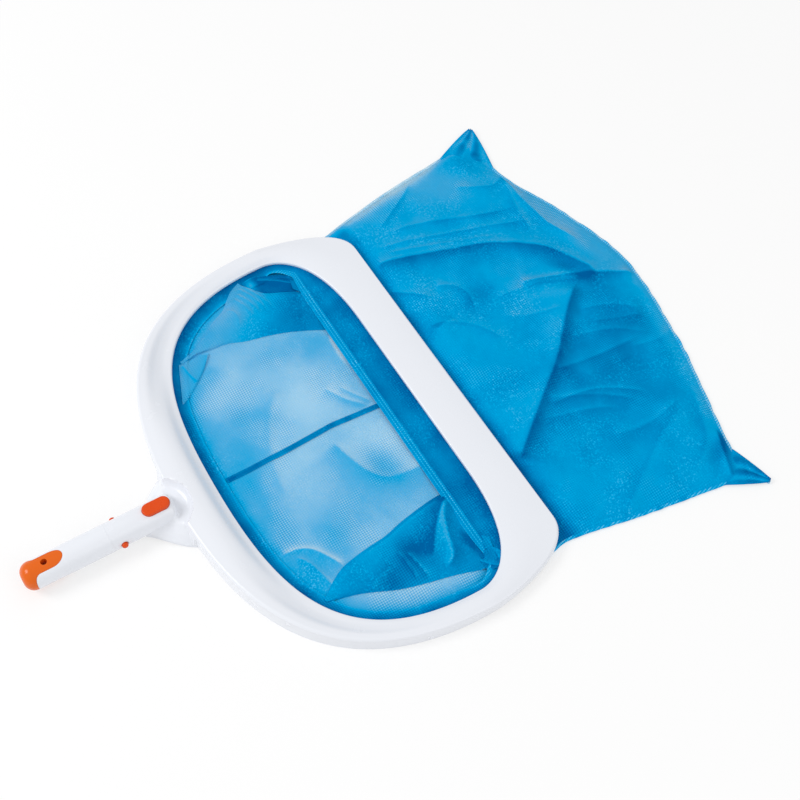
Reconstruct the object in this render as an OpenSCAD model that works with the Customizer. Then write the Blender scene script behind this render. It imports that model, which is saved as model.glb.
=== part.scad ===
// Leaf skimmer head: a D-shaped moulded frame with a flat front lip, a short tube
// handle with a quick-release pole lock, and a deep mesh bag laid out flat in front.
// Millimetres. X runs across the mouth, Y from the handle to the lip, Z up.
// The origin is the middle of the tube's bearing length, on the tube's axis.

/* [Handle tube] */
// Outside diameter of the bearing length that the pole slides over
spigot_d = 28; // [26:0.5:32]
// Length of the bearing length between the end cap's tongues and the lock pins
spigot_len = 42; // [34:1:60]
// Wall of the tube
tube_wall = 2.4; // [2:0.1:3]
// Distance from the bearing length to the lock pins' centres
pin_offset = 10; // [5:0.5:14]
// Distance from the lock pins to where the neck flares and stops the pole
pole_stop = 24; // [18:1:30]
// Height of the tube's axis above the mouth's edge
axis_rise = 5; // [2:0.5:8]

/* [End cap] */
// Length of the cap's tongues along the tube
tongue_len = 31; // [26:1:38]
// Width of the cap's tongues
tongue_w = 15.8; // [12:0.2:17]
// Length of the rounded end
dome_len = 10; // [8:0.5:12]
// Diameter of the drain hole through the cap
drain_d = 6; // [4:0.5:6]

/* [Pole lock] */
// Diameter of a lock pin
pin_d = 6; // [5:0.1:7]
// How far a lock pin stands out of the tube
pin_reach = 3; // [2:0.1:3.5]
// Height of a lock leg
leg_h = 5; // [4:0.5:6]
// Thickness of a lock leg
leg_t = 2; // [1.6:0.1:2.2]
// Length of the release button
button_len = 27; // [24:1:32]
// Width of the release button
button_w = 13; // [11:0.5:16]
// Height of the button above the tube
button_rise = 2; // [1.5:0.25:4]
// Travel of the button
button_travel = 4; // [3.5:0.1:4.5]

/* [Frame] */
// Width of the mouth
mouth_w = 428; // [380:1:470]
// Depth of the mouth from the back rim to the lip
mouth_d = 213; // [190:1:240]
// Width of the flat front lip
lip_w = 42.5; // [34:0.5:50]
// Width of the frame at its sides
side_w = 21; // [17:0.5:26]
// Width of the rim at the back
rim_w = 42; // [36:0.5:50]
// Length of the neck between the pole stop and the rim
neck_len = 32; // [28:1:42]
// Height of the mouth's edge above the floor
edge_h = 12; // [10:0.5:16]
// Thickness of the front lip below the mouth's edge
lip_t = 7.5; // [7:0.25:9]
// Wall of the mouldings
shell_t = 2.2; // [1.8:0.1:2.6]
// Number of screws on each side that hold the base
screws_per_side = 6; // [4:1:7]

/* [Net] */
// Length of the bag in front of the lip, along the middle
bag_len = 243; // [200:1:320]
// Thickness of one layer of net with its weave
cloth_t = 1; // [0.8:0.1:1.2]
// Height of the flattened bag's crown
bag_crown = 5; // [3:0.5:9]
// Width of the band sewn round the mouth
band_w = 20; // [16:0.5:26]
// Width of a bound seam
seam_w = 4; // [3:0.5:6]
// Diameter of the cord in the hem
hem_cord_d = 3; // [2.4:0.1:3.2]

/* [Hidden] */

$fn = 64;
white = "whitesmoke";
orange = "darkorange";
signal_orange = "orangered";
net_blue = "deepskyblue";
seam_blue = "dodgerblue";

slide_gap = 0.2;      // sliding clearance of the lock's pieces
seat_gap = 0.3;       // gap between cloth and what holds it
eps = 0.01;

// Handle
spigot_r = spigot_d / 2;
tube_r = spigot_r - 0.2;
bore_r = tube_r - tube_wall;
tongue_tip_y = -spigot_len / 2 - 0.5;
tail_y = tongue_tip_y - tongue_len;
pin_y = spigot_len / 2 + pin_offset;
stop_y = pin_y + pole_stop;
button_y = stop_y + 15.3;
bore_end_y = button_y + button_len / 2 - 3;
split_y = stop_y - 4;   // the moulding's handle is a node of its own up to here
hump_end_y = button_y + button_len / 2 + 1.7;

// Frame plan
rim_y = stop_y + neck_len;
back_y = rim_y + rim_w;
front_y = back_y + mouth_d;
lip_y = front_y + lip_w;
edge_z = -axis_rise;
floor_z = edge_z - edge_h;
lip_z = edge_z - lip_t;

function mix(a, b, t) = a + (b - a) * t;
function clamp01(t) = min(1, max(0, t));
function smooth(a, b, v) = let (t = clamp01((v - a) / (b - a))) t * t * (3 - 2 * t);
function bezier(a, b, c, d, t) =
    pow(1 - t, 3) * a + 3 * pow(1 - t, 2) * t * b + 3 * (1 - t) * t * t * c + t * t * t * d;
function unit(v) = v / norm(v);

// Half of a D outline from the middle of the front to the middle of the back:
// a straight front, a front corner to the widest line, and one long sweep to the back.
straight_steps = 4;
corner_steps = 12;
sweep_steps = 20;
half_steps = straight_steps + corner_steps + sweep_steps;
function half_outline(half_w, y_front, y_back, corner_in, corner_out, wide_back, wide_up, sweep_up, sweep_in) =
    let (
        wide = [half_w, y_front - wide_back],
        start = [half_w - corner_in, y_front],
        tail = [0, y_back]
    )
    concat(
        [for (i = [0:straight_steps - 1]) [start.x * i / straight_steps, y_front]],
        [for (i = [0:corner_steps - 1])
            bezier(start, [half_w - corner_out, y_front], wide + [0, wide_up], wide, i / corner_steps)],
        [for (i = [0:sweep_steps])
            bezier(wide, wide - [0, sweep_up], tail + [sweep_in, 0], tail, i / sweep_steps)]
    );
function mirrored(half) =
    concat(half, [for (i = [len(half) - 2:-1:1]) [-half[i].x, half[i].y]]);

inner_half = half_outline(mouth_w / 2, front_y, back_y, 111, 6, 55, 9, 140, 121);
outer_half = half_outline(mouth_w / 2 + side_w, lip_y, rim_y, 49, 10, 92, 10, 160, 135);
inner_line = mirrored(inner_half);
outer_line = mirrored(outer_half);
stations = len(inner_line);
function along(i) = (i <= half_steps ? i : stations - i) / half_steps;

// Heights of the frame's top above the mouth's edge at 12, 30, 50 and 70 percent of its
// width and at the outer edge, at stations from the lip (0) to the back (1).
top_keys = [0, 0.11, 0.28, 0.44, 0.61, 0.75, 0.9, 1];
top_heights = [
    [0.6, 0.9, 1.0, 0.7, -0.2],
    [0.6, 0.9, 1.0, 0.7, -0.2],
    [1.1, 2.3, 2.7, 2.0, 0.4],
    [1.3, 2.9, 3.7, 3.7, 2.8],
    [0.9, 1.8, 3.5, 5.8, 6.2],
    [0.9, 2.6, 5.8, 9.8, 11.0],
    [2.8, 9.2, 12.4, 13.2, 12.4],
    [3.4, 10.6, 13.2, 13.6, 12.6]
];
last_key = len(top_keys) - 1;
function key_before(v, i = 0) = i >= last_key - 1 || top_keys[i + 1] > v ? i : key_before(v, i + 1);
function key_slope(i) =
    let (a = max(0, i - 1), b = min(last_key, i + 1))
    (top_heights[b] - top_heights[a]) / (top_keys[b] - top_keys[a]);
function heights_at(v) =
    let (
        i = key_before(v),
        span = top_keys[i + 1] - top_keys[i],
        t = (v - top_keys[i]) / span
    )
    top_heights[i] * (2 * t * t * t - 3 * t * t + 1)
        + key_slope(i) * span * (t * t * t - 2 * t * t + t)
        + top_heights[i + 1] * (3 * t * t - 2 * t * t * t)
        + key_slope(i + 1) * span * (t * t * t - t * t);

// The underside is on the floor at the back and sides, and lifts to the thin lip.
function underside(y) = mix(floor_z, lip_z, smooth(front_y - 105, front_y - 15, y)) - edge_z;

edge_round = 3;       // rounding of the frame's outer top edge
net_gap_top = -3.2;   // the net comes out between these heights below the mouth's edge
net_gap_low = -4.9;
fill_half_w = 44;     // the rim is solid behind the neck
function fill_at(x) = 1 - smooth(fill_half_w, fill_half_w + 16, abs(x));

// Section of the top moulding as [distance from the mouth, height above its edge].
function top_section(w, h, low, fill) =
    let (t = shell_t, floor_cut = low + 3)
    [
        [0, net_gap_top],
        [0, -1.3],
        [0.5, -0.35],
        [1.6, 0.2],
        [0.12 * w + 0.6, h[0]],
        [0.3 * w, h[1]],
        [0.5 * w, h[2]],
        [0.7 * w, h[3]],
        [w - edge_round, h[4]],
        [w - 0.9, h[4] - 0.9],
        [w, h[4] - edge_round],
        [w, low],
        [w - t, low],
        [w - t, mix(h[4] - edge_round - 0.5, floor_cut, fill)],
        [w - edge_round - 0.6 * t, mix(h[4] - t, floor_cut, fill)],
        [0.7 * w, mix(h[3] - t, floor_cut, fill)],
        [0.5 * w, mix(h[2] - t, floor_cut, fill)],
        [0.3 * w, mix(h[1] - t, floor_cut, fill)],
        [max(0.12 * w + 0.6, t + 0.6), min(h[0] - t, -1.4)],
        [t, -2.1],
        [t, net_gap_top]
    ];
// Section of the base: an upstand under the net, and a plate that closes the underside.
function base_section(w, low) =
    let (t = shell_t, foot = low + 0.3, side = w - shell_t - 0.2)
    [
        [0.2, net_gap_low],
        [0.2, foot],
        [side, foot],
        [side, foot + 2],
        [t + 0.2, foot + 2],
        [t + 0.2, net_gap_low]
    ];

function placed(i, section) =
    let (a = inner_line[i], d = unit(outer_line[i] - a))
    [for (p = section) [a.x + d.x * p.x, a.y + d.y * p.x, edge_z + p.y]];
function width_at(i) = norm(outer_line[i] - inner_line[i]);
function top_ring_at(i) =
    placed(i, top_section(width_at(i), heights_at(along(i)), underside(inner_line[i].y), fill_at(outer_line[i].x)));
function base_ring_at(i) = placed(i, base_section(width_at(i), underside(inner_line[i].y)));

// Solid from a closed row of rings, or from an open row with ends. The ends are strips
// from the ring's first half to its second.
module ring_solid(rings, closed = true) {
    n = len(rings);
    m = len(rings[0]);
    last = closed ? n - 1 : n - 2;
    sides = [
        for (i = [0:last], j = [0:m - 1])
            let (
                i2 = (i + 1) % n,
                j2 = (j + 1) % m,
                a = i * m + j,
                b = i * m + j2,
                c = i2 * m + j2,
                d = i2 * m + j
            )
            each [[a, b, c], [a, c, d]]
    ];
    ends = closed ? [] : [
        for (j = [0:m / 2 - 2])
            each [
                [j + 1, j, m - 1 - j],
                [j + 1, m - 1 - j, m - 2 - j],
                (n - 1) * m * [1, 1, 1] + [j, j + 1, m - 1 - j],
                (n - 1) * m * [1, 1, 1] + [j + 1, m - 2 - j, m - 1 - j]
            ]
    ];
    polyhedron([for (r = rings) each r], concat(sides, ends));
}

module along_y(y0, y1) {
    translate([0, y1, 0]) rotate([90, 0, 0]) linear_extrude(y1 - y0) children();
}
module rod_y(r, y0, y1) {
    along_y(y0, y1) circle(r);
}

// ---- frame ----

// Places of the base's screws: evenly spread stations at the middle of the channel.
first_screw = straight_steps / 2;
last_screw = half_steps - 6;
screw_stations = [
    for (k = [0:screws_per_side - 1])
        round(mix(first_screw, last_screw, k / (screws_per_side - 1)))
];
function channel_middle(i) =
    let (p = (inner_line[i] + outer_line[i]) / 2) [p.x, p.y, edge_z + underside(inner_line[i].y) + 0.3];
screw_places = [
    for (i = screw_stations, side = [1, -1]) let (p = channel_middle(i)) [side * p.x, p.y, p.z, i]
];
screw_d = 2.9;
screw_head_d = 5.6;
screw_head_h = 1.4;
boss_d = 7;
function boss_top(i) = edge_z + heights_at(along(i))[2] - shell_t / 2;

module bosses() {
    for (p = screw_places) {
        top = boss_top(p[3]);
        low = p.z + 2 + seat_gap;
        translate([p.x, p.y, low]) difference() {
            cylinder(d = boss_d, h = top - low);
            translate([0, 0, -1]) cylinder(d = screw_d + 0.1, h = min(8, top - low - 0.8) + 1);
        }
    }
}

flare_top_z = 0.6;    // the dish between the tube and the rim, just above the tube's axis
function flare_half_w(t) = bezier([-3, 10], [5, 14], [15, 31], [neck_len + 2, 42], t);
module neck_flare() {
    steps = 10;
    low_back = -tube_r + 0.5;
    rings = [
        for (k = [0:steps])
            let (
                p = flare_half_w(k / steps),
                y = stop_y + p.x,
                low = mix(low_back, floor_z, smooth(stop_y, rim_y, y)),
                foot = p.y,
                shoulder = mix(9, 25, smooth(stop_y + 19, rim_y + 2, y)),
                side = mix(shoulder, foot, 0.62)
            )
            [
                [shoulder, y, flare_top_z],
                [-shoulder, y, flare_top_z],
                [-side, y, mix(flare_top_z, low, 0.45)],
                [-foot, y, low + 2],
                [-foot + 1.5, y, low],
                [foot - 1.5, y, low],
                [foot, y, low + 2],
                [side, y, mix(flare_top_z, low, 0.45)]
            ]
    ];
    ring_solid(rings, closed = false);
}

// The scoop that the dish cuts into the back of the rim.
scoop_r = 31;
scoop_y = rim_y - 15;
module dish_scoop() {
    translate([0, scoop_y, flare_top_z]) rotate_extrude() {
        intersection() {
            union() {
                translate([0, 6]) square([scoop_r, 30]);
                square([scoop_r - 6, 7]);
                translate([scoop_r - 6, 6]) circle(6);
            }
            square([scoop_r, 40]);
        }
    }
}

module button_slot(gap) {
    translate([0, button_y, -0.5]) linear_extrude(spigot_r * 2) oval(button_len + 2 * gap, button_w + 2 * gap);
}
module oval(length, width) {
    run = (length - width) / 2;
    square([width, 2 * run], center = true);
    translate([0, run]) circle(d = width);
    translate([0, -run]) circle(d = width);
}

// Plan of the end cap's skin: two tongues that flare into the cap's rim.
flare_r = 7;
tongue_end = 12;      // length of a tongue's tapering tip
module cap_plan(grow) {
    half = tongue_w / 2 + grow;
    difference() {
        union() {
            translate([-half, tail_y - 40]) square([2 * half, tongue_len + 40 - tongue_end]);
            translate([0, tongue_tip_y - tongue_end]) scale([half, tongue_end + grow]) circle(1);
            translate([-half - flare_r, tail_y - 40]) square([2 * (half + flare_r), 40 + flare_r + grow]);
        }
        for (s = [-1, 1]) {
            translate([s * (half + flare_r), tail_y + flare_r + grow]) circle(flare_r);
        }
    }
}

// The end of the tube, from the neck to the hump behind the button.
hump_round = 4;
module hump() {
    rod_y(tube_r, split_y, hump_end_y - hump_round);
    translate([0, hump_end_y - hump_round, 0]) rotate([-90, 0, 0]) rotate_extrude() {
        square([tube_r - hump_round, hump_round]);
        intersection() {
            translate([tube_r - hump_round, 0]) circle(hump_round);
            square([tube_r, hump_round]);
        }
    }
}

pin_hole_d = pin_d + 1.2;
module lock_cuts() {
    rod_y(bore_r, tail_y - 1, bore_end_y);
    button_slot(slide_gap);
    translate([0, 0, -spigot_r - 1]) linear_extrude(2 * spigot_r + 2) intersection() {
        cap_plan(slide_gap);
        translate([-spigot_r - 1, tail_y - 1]) square([2 * spigot_r + 2, tongue_len + 2]);
    }
    translate([0, pin_y + 0.25, 0]) rotate([0, 90, 0]) cylinder(d = pin_hole_d, h = 2 * spigot_r + 2, center = true);
}

module frame_top() {
    color(white) difference() {
        union() {
            difference() {
                ring_solid([for (i = [0:stations - 1]) top_ring_at(i)]);
                dish_scoop();
            }
            bosses();
            neck_flare();
            hump();
        }
        lock_cuts();
    }
}

// The handle, in one piece with the frame's top moulding: the two meet face to face.
module handle_tube() {
    color(white) difference() {
        union() {
            rod_y(tube_r, tail_y, split_y);
            rod_y(spigot_r, -spigot_len / 2, spigot_len / 2);
        }
        lock_cuts();
    }
}

module frame_base() {
    color(white) difference() {
        ring_solid([for (i = [0:stations - 1]) base_ring_at(i)]);
        for (p = screw_places) {
            translate([p.x, p.y, p.z - 1]) cylinder(d = screw_d + 0.4, h = 5);
            translate([p.x, p.y, p.z - eps]) cylinder(d1 = screw_head_d + 0.3, d2 = screw_d + 0.4, h = screw_head_h);
        }
    }
}

module frame_screws() {
    color("silver") for (p = screw_places) {
        reach = min(8, boss_top(p[3]) - p.z - 2.8);
        translate([p.x, p.y, p.z]) {
            cylinder(d1 = screw_head_d, d2 = screw_d, h = screw_head_h - 0.1);
            cylinder(d = screw_d, h = reach + 1.4);
        }
    }
}

// ---- net ----

// Heights below are above the mouth's edge, and distances are from it, inward negative.
lower_top = -edge_h + cloth_t;
upper_low = -lip_t - 0.7 - cloth_t;
seam_low = -edge_h + seat_gap;
seam_top = -lip_t - 0.4;
loop_h = cloth_t + 1.4;

// The seam that joins the band to the panels: on the floor round the back and
// sides, and above the lower panel along the lip.
function loop_inset(v) = mix(band_w, band_w / 2, smooth(0.15, 0.45, v));
function loop_low(v) = mix(upper_low - 0.2, seam_low - 0.2, smooth(0.37, 0.47, v));
function loop_section(v) =
    let (a = -loop_inset(v), b = a - seam_w, low = loop_low(v))
    [[b, low], [b, low + loop_h], [a, low + loop_h], [a, low]];
function band_section(v) =
    let (
        half = cloth_t / 2,
        end = [-loop_inset(v) + seat_gap, loop_low(v) + 1.9],
        mouth = (net_gap_top + net_gap_low) / 2,
        path = [[shell_t, mouth], [-1.2, mouth - 0.15], [mix(-1.2, end.x, 0.5), mix(mouth, end.y, 0.62)], end]
    )
    concat(
        [for (i = [3:-1:0]) path[i] + [0, half]],
        [for (i = [0:3]) path[i] - [0, half]]
    );

module hem_cord() {
    sides = 10;
    centre = [shell_t + seat_gap + hem_cord_d / 2, net_gap_top - 0.4];
    rings = [
        for (i = [0:stations - 1])
            placed(i, [for (k = [0:sides - 1]) centre + hem_cord_d / 2 * [-cos(360 * k / sides), sin(360 * k / sides)]])
    ];
    color(seam_blue) ring_solid(rings);
}

module mouth_band() {
    color(net_blue) ring_solid([for (i = [0:stations - 1]) placed(i, band_section(along(i)))]);
}

module mouth_seam() {
    color(seam_blue) ring_solid([for (i = [0:stations - 1]) placed(i, loop_section(along(i)))]);
}

// Edges of the flattened bag: [share of half the mouth's width, share of the bag's length
// in front of the lip]. Its two far corners stand out as ears.
left_edge = [[-1.03, -0.1], [-1.07, 0.03], [-1.14, 0.3], [-1.19, 0.58], [-1.23, 0.74], [-1.29, 0.83]];
right_edge = [[1.0, -0.1], [0.99, 0.03], [1.05, 0.3], [1.1, 0.58], [1.13, 0.72], [1.2, 0.83]];
far_edge = [
    [-1.29, 0.83], [-1.13, 0.79], [-0.9, 0.81], [-0.56, 0.92], [-0.14, 1],
    [0.36, 0.94], [0.7, 0.86], [0.95, 0.8], [1.08, 0.79], [1.2, 0.83]
];
function bag_point(p) = [p.x * mouth_w / 2, lip_y + p.y * bag_len];
function edge_points(list) = [for (p = list) bag_point(p)];
// A curve through the points, with the given number of steps from one to the next.
function through(p, steps) =
    let (last = len(p) - 1)
    concat(
        [
            for (i = [0:last - 1], k = [0:steps - 1])
                let (
                    t = k / steps,
                    a = p[max(0, i - 1)],
                    b = p[i],
                    c = p[i + 1],
                    d = p[min(last, i + 2)]
                )
                0.5 * (2 * b + (c - a) * t + (2 * a - 5 * b + 4 * c - d) * t * t
                    + (3 * b - a - 3 * c + d) * t * t * t)
        ],
        [p[last]]
    );
// The curve moved to its right by a distance.
function moved_right(line, distance) =
    let (last = len(line) - 1)
    [
        for (i = [0:last])
            let (d = unit(line[min(last, i + 1)] - line[max(0, i - 1)]))
            line[i] + distance * [d.y, -d.x]
    ];
function reversed(line) = [for (i = [len(line) - 1:-1:0]) line[i]];

side_start_y = front_y - 30;
left_line = through(concat([[-mouth_w / 2 - 1, side_start_y]], edge_points(left_edge)), 3);
right_line = through(concat([[mouth_w / 2 + 1, side_start_y]], edge_points(right_edge)), 3);
far_line = through(edge_points(far_edge), 3);
panel_inset = seam_w + 2 * seat_gap;
ear_inset = panel_inset * 2.8;
function ear_corner(tip, a, b) = tip + ear_inset * unit(unit(a - tip) + unit(b - tip));
left_corner = ear_corner(far_line[0], far_line[3], left_line[len(left_line) - 4]);
right_corner = ear_corner(far_line[len(far_line) - 1], far_line[len(far_line) - 4], right_line[len(right_line) - 4]);
function away_from(line, tip, distance) = [for (p = line) if (norm(p - tip) > distance) p];
left_tip = bag_point(far_edge[0]);
right_tip = bag_point(far_edge[len(far_edge) - 1]);
corner_start = ear_inset + 3;
left_side = away_from(moved_right(left_line, panel_inset), left_tip, corner_start);
right_side = away_from(moved_right(right_line, -panel_inset), right_tip, corner_start);
far_side = away_from(
    away_from(moved_right(far_line, panel_inset), left_tip, corner_start),
    right_tip,
    corner_start
);
bag_sides = concat(left_side, [left_corner], far_side, [right_corner], reversed(right_side));

// Strip of binding along a line, on the line's right.
module binding(line) {
    inner = moved_right(line, seam_w);
    rings = [
        for (i = [0:len(line) - 1]) [
            [line[i].x, line[i].y, edge_z + seam_low],
            [line[i].x, line[i].y, edge_z + seam_top],
            [inner[i].x, inner[i].y, edge_z + seam_top],
            [inner[i].x, inner[i].y, edge_z + seam_low]
        ]
    ];
    ring_solid(rings, closed = false);
}
// The side seams stop where the end seam comes close.
side_end = seam_w * 4 + seat_gap;
module side_seam_left() {
    color(seam_blue) binding(away_from(left_line, left_tip, side_end));
}
module side_seam_right() {
    color(seam_blue) mirror([1, 0, 0])
        binding([for (p = away_from(right_line, right_tip, side_end)) [-p.x, p.y]]);
}
module end_seam() {
    color(seam_blue) binding(far_line);
}

// The lower panel lies on the floor, from the back of the mouth to the far edge.
module net_lower_panel() {
    flat = band_w / 2 + seam_w + seat_gap;
    bend = [mouth_w / 2 - flat - 3, front_y - lip_w];
    mouth_part = [
        for (i = [0:stations - 1])
            if (inner_line[i].y < bend.y - 3.5 * seam_w)
                let (d = unit(outer_line[i] - inner_line[i])) inner_line[i] - flat * d
    ];
    outline = concat(
        [[bend.x, bend.y]],
        mouth_part,
        [[-bend.x, bend.y]],
        bag_sides
    );
    color(net_blue) translate([0, 0, floor_z]) linear_extrude(cloth_t) polygon(outline);
}

// The upper panel runs from the band's seam under the lip to the far edge.
seam_line = [
    for (i = [-half_steps / 3:half_steps / 3])
        let (
            k = (i + stations) % stations,
            d = unit(outer_line[k] - inner_line[k]),
            p = inner_line[k] - (loop_inset(along(k)) - 4 * seat_gap) * d
        )
        if (p.y > side_start_y + 3) p
];
near_line = concat([left_side[0]], seam_line, [right_side[0]]);
// A ridge of cloth along the line from a to b, of the given height and half-width.
function ridge(p, a, b, high, half_w) =
    let (
        run = b - a,
        t = (p - a) * run / (run * run),
        off = norm(p - a - clamp01(t) * run)
    )
    high * pow(max(0, 1 - off / half_w), 2) * smooth(0, 0.15, t) * smooth(1, 0.85, t);
function bag_rise(p) =
    let (
        left_x = lookup(p.y, [for (q = left_line) [q.y, q.x]]),
        right_x = lookup(p.y, [for (q = right_line) [q.y, q.x]]),
        far_y = lookup(p.x, far_line),
        inside = min(p.x - left_x, right_x - p.x)
    )
    smooth(lip_y + 6, lip_y + 40, p.y) * smooth(8, 60, inside) * smooth(8, 50, far_y - p.y) * (
        bag_crown
            + ridge(p, bag_point([0.56, 0.02]), bag_point([-0.14, 0.8]), bag_crown * 1.1, bag_crown * 4.4)
            + ridge(p, bag_point([-0.68, 0.04]), bag_point([-0.48, 0.75]), bag_crown * 0.6, bag_crown * 3.6)
    );
module net_upper_panel() {
    columns = 26;
    rows = 18;
    left = concat(left_side, [left_corner]);
    right = concat(right_side, [right_corner]);
    far = concat([left_corner], far_side, [right_corner]);
    function side_x(line, y) = lookup(y, [for (q = line) [q.y, q.x]]);
    rings = [
        for (k = [rows:-1:0])
            let (
                v = k / rows,
                x0 = side_x(left, mix(left[0].y, left_corner.y, v)),
                x1 = side_x(right, mix(right[0].y, right_corner.y, v)) - seat_gap,
                top = [
                    for (j = [0:columns])
                        let (
                            u = j / columns,
                            far_y = lookup(mix(left_corner.x, right_corner.x, u), far) - 3 * seat_gap,
                            near_y = lookup(mix(left[0].x, right[0].x, u), near_line),
                            p = [mix(x0, x1, u), mix(near_y, far_y, v)]
                        )
                        [p.x, p.y, edge_z + upper_low + bag_rise(p)]
                ]
            )
            concat([for (p = top) p + [0, 0, cloth_t]], reversed(top))
    ];
    color(net_blue) ring_solid(rings, closed = false);
}

module centre_seam() {
    start_y = back_y + band_w / 2 + seam_w + 2 * seat_gap;
    end_y = lip_y + bag_len - panel_inset - 2;
    color(seam_blue) translate([-seam_w / 2, start_y, edge_z + lower_top + seat_gap])
        cube([seam_w, end_y - start_y, 0.8 * cloth_t]);
}

// ---- end cap and pole lock ----

plug_len = 20;
pivot_y = tail_y + 9.5;
drain_y = tail_y + 13.6;
knuckle_d = 4.4;
leg_outer = 7.8;
pad_outer = 9;
pad_len = 6;
leg_x = leg_outer - leg_t / 2;
tip_y = bore_end_y - 2;
pin_travel = pin_reach + 0.3;
leg_swing = asin(pin_travel / (pin_y - pivot_y));
pad_travel = (tip_y - pivot_y) * sin(leg_swing);

dome_round = dome_len - 0.25;
module dome() {
    side = tube_r;
    translate([0, tail_y, 0]) rotate([90, 0, 0]) rotate_extrude() {
        square([side - dome_round, dome_len]);
        intersection() {
            translate([side - dome_round, dome_len - dome_round]) circle(dome_round);
            square([side, dome_len]);
        }
        square([side, dome_len - dome_round]);
    }
}

module end_cap() {
    socket_d = knuckle_d + 2 * slide_gap;
    socket_h = leg_h + 2 * slide_gap;
    color(orange) difference() {
        union() {
            intersection() {
                difference() {
                    rod_y(tube_r, tail_y, tongue_tip_y);
                    rod_y(bore_r - 1.5, tail_y - 1, tongue_tip_y + 1);
                }
                translate([0, 0, -spigot_r]) linear_extrude(2 * spigot_r) cap_plan(0);
            }
            dome();
            rod_y(bore_r - slide_gap, tail_y - 1, tail_y + plug_len);
        }
        translate([0, drain_y, -spigot_r]) cylinder(d = drain_d, h = 2 * spigot_r);
        for (s = [-1, 1]) {
            translate([s * leg_x, pivot_y, -socket_h / 2]) cylinder(d = socket_d, h = socket_h);
            translate([s * (leg_x - 0.25) - 1.6, pivot_y, -socket_h / 2]) cube([3.2, plug_len, socket_h]);
        }
    }
}

// A leg: a round root in the cap's socket, a bar with the pin on it, and a pad at its tip.
module lock_leg() {
    leg_inner = leg_outer - leg_t;
    boss_r = pin_d / 2 + 0.8;
    boss_face = sqrt(pow(bore_r - 0.1, 2) - pow(boss_r, 2));
    translate([leg_x, pivot_y, -leg_h / 2]) cylinder(d = knuckle_d, h = leg_h);
    translate([leg_inner, pivot_y, -leg_h / 2]) cube([leg_t, tip_y - pivot_y, leg_h]);
    translate([leg_inner, tip_y - pad_len, -leg_h / 2]) cube([pad_outer - leg_inner, pad_len, leg_h]);
    translate([leg_inner, pin_y, 0]) rotate([0, 90, 0]) cylinder(r = boss_r, h = boss_face - leg_inner);
    translate([leg_outer - 1, pin_y, 0]) rotate([0, 90, 0]) lock_pin();
}
// A lock pin with a rounded end, standing on the leg.
module lock_pin() {
    length = spigot_r + pin_reach - leg_outer + 1;
    end_r = 2.2;
    rotate_extrude() {
        square([pin_d / 2, length - end_r]);
        square([pin_d / 2 - end_r, length]);
        intersection() {
            translate([pin_d / 2 - end_r, length - end_r]) circle(end_r);
            square([pin_d / 2, length]);
        }
    }
}
module lock_leg_right() {
    color(signal_orange) lock_leg();
}
module lock_leg_left() {
    color(signal_orange) mirror([1, 0, 0]) lock_leg();
}

// The button: an oval head over a block whose underside squeezes the legs' pads together.
module release_button() {
    head_low = 4;
    head_top = spigot_r + button_rise;
    block_half_w = bore_r - 1;
    block_y0 = button_y - button_len / 2 - 2;
    block_y1 = bore_end_y - slide_gap;
    pad_top = leg_h / 2;
    wide = pad_outer + slide_gap;
    narrow = wide - pad_travel;
    color(signal_orange) difference() {
        union() {
            translate([0, button_y, head_low]) linear_extrude(head_top - 0.8 - head_low) oval(button_len, button_w);
            hull() {
                translate([0, button_y, head_top - 1]) linear_extrude(0.2) oval(button_len, button_w);
                translate([0, button_y, head_top - 0.1]) linear_extrude(0.1) oval(button_len - 2.4, button_w - 2.4);
            }
            intersection() {
                rod_y(bore_r - slide_gap, block_y0, block_y1);
                translate([-block_half_w, block_y0 - 1, 0]) cube([2 * block_half_w, block_y1 - block_y0 + 2, bore_r]);
            }
        }
        along_y(block_y0 - 1, bore_end_y + 1) polygon([
            for (s = [1, -1]) each let (
                half = [[wide + 0.3, -1], [wide, pad_top], [narrow, pad_top + button_travel], [narrow, pad_top + button_travel + 0.8]]
            ) [for (i = [0:3]) let (q = s > 0 ? half[i] : half[3 - i]) [s * q.x, q.y]]
        ]);
    }
}

frame_top();
handle_tube();
frame_base();
frame_screws();
hem_cord();
mouth_band();
mouth_seam();
net_lower_panel();
net_upper_panel();
centre_seam();
side_seam_left();
side_seam_right();
end_seam();
end_cap();
release_button();
lock_leg_left();
lock_leg_right();
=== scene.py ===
"""Looks of the leaf skimmer head: the white moulded frame, the orange pole lock and the blue mesh bag.

Sizes are in millimetres in the frame's own axes, and become metres where a mesh is made. Materials and
lamps are in metres.
"""

import bmesh
import bpy
import numpy as np
from mathutils import Matrix, Vector, noise


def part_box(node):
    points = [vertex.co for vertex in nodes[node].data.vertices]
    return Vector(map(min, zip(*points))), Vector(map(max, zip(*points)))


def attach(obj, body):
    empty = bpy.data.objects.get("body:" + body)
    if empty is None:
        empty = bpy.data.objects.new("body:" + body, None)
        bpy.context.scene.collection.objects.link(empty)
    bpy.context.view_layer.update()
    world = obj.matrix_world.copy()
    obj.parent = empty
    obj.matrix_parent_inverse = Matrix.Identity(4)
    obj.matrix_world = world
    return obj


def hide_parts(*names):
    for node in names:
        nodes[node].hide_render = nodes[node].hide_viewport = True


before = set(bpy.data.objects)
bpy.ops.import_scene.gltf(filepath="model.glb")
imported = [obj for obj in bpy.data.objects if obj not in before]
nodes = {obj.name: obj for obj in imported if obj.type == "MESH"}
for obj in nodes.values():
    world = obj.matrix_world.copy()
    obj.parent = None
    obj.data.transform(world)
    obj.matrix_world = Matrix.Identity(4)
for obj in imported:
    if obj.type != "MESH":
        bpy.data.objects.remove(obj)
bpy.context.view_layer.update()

# ---------------- sizes

MM = 0.001
TURN = 2 * np.pi

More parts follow.
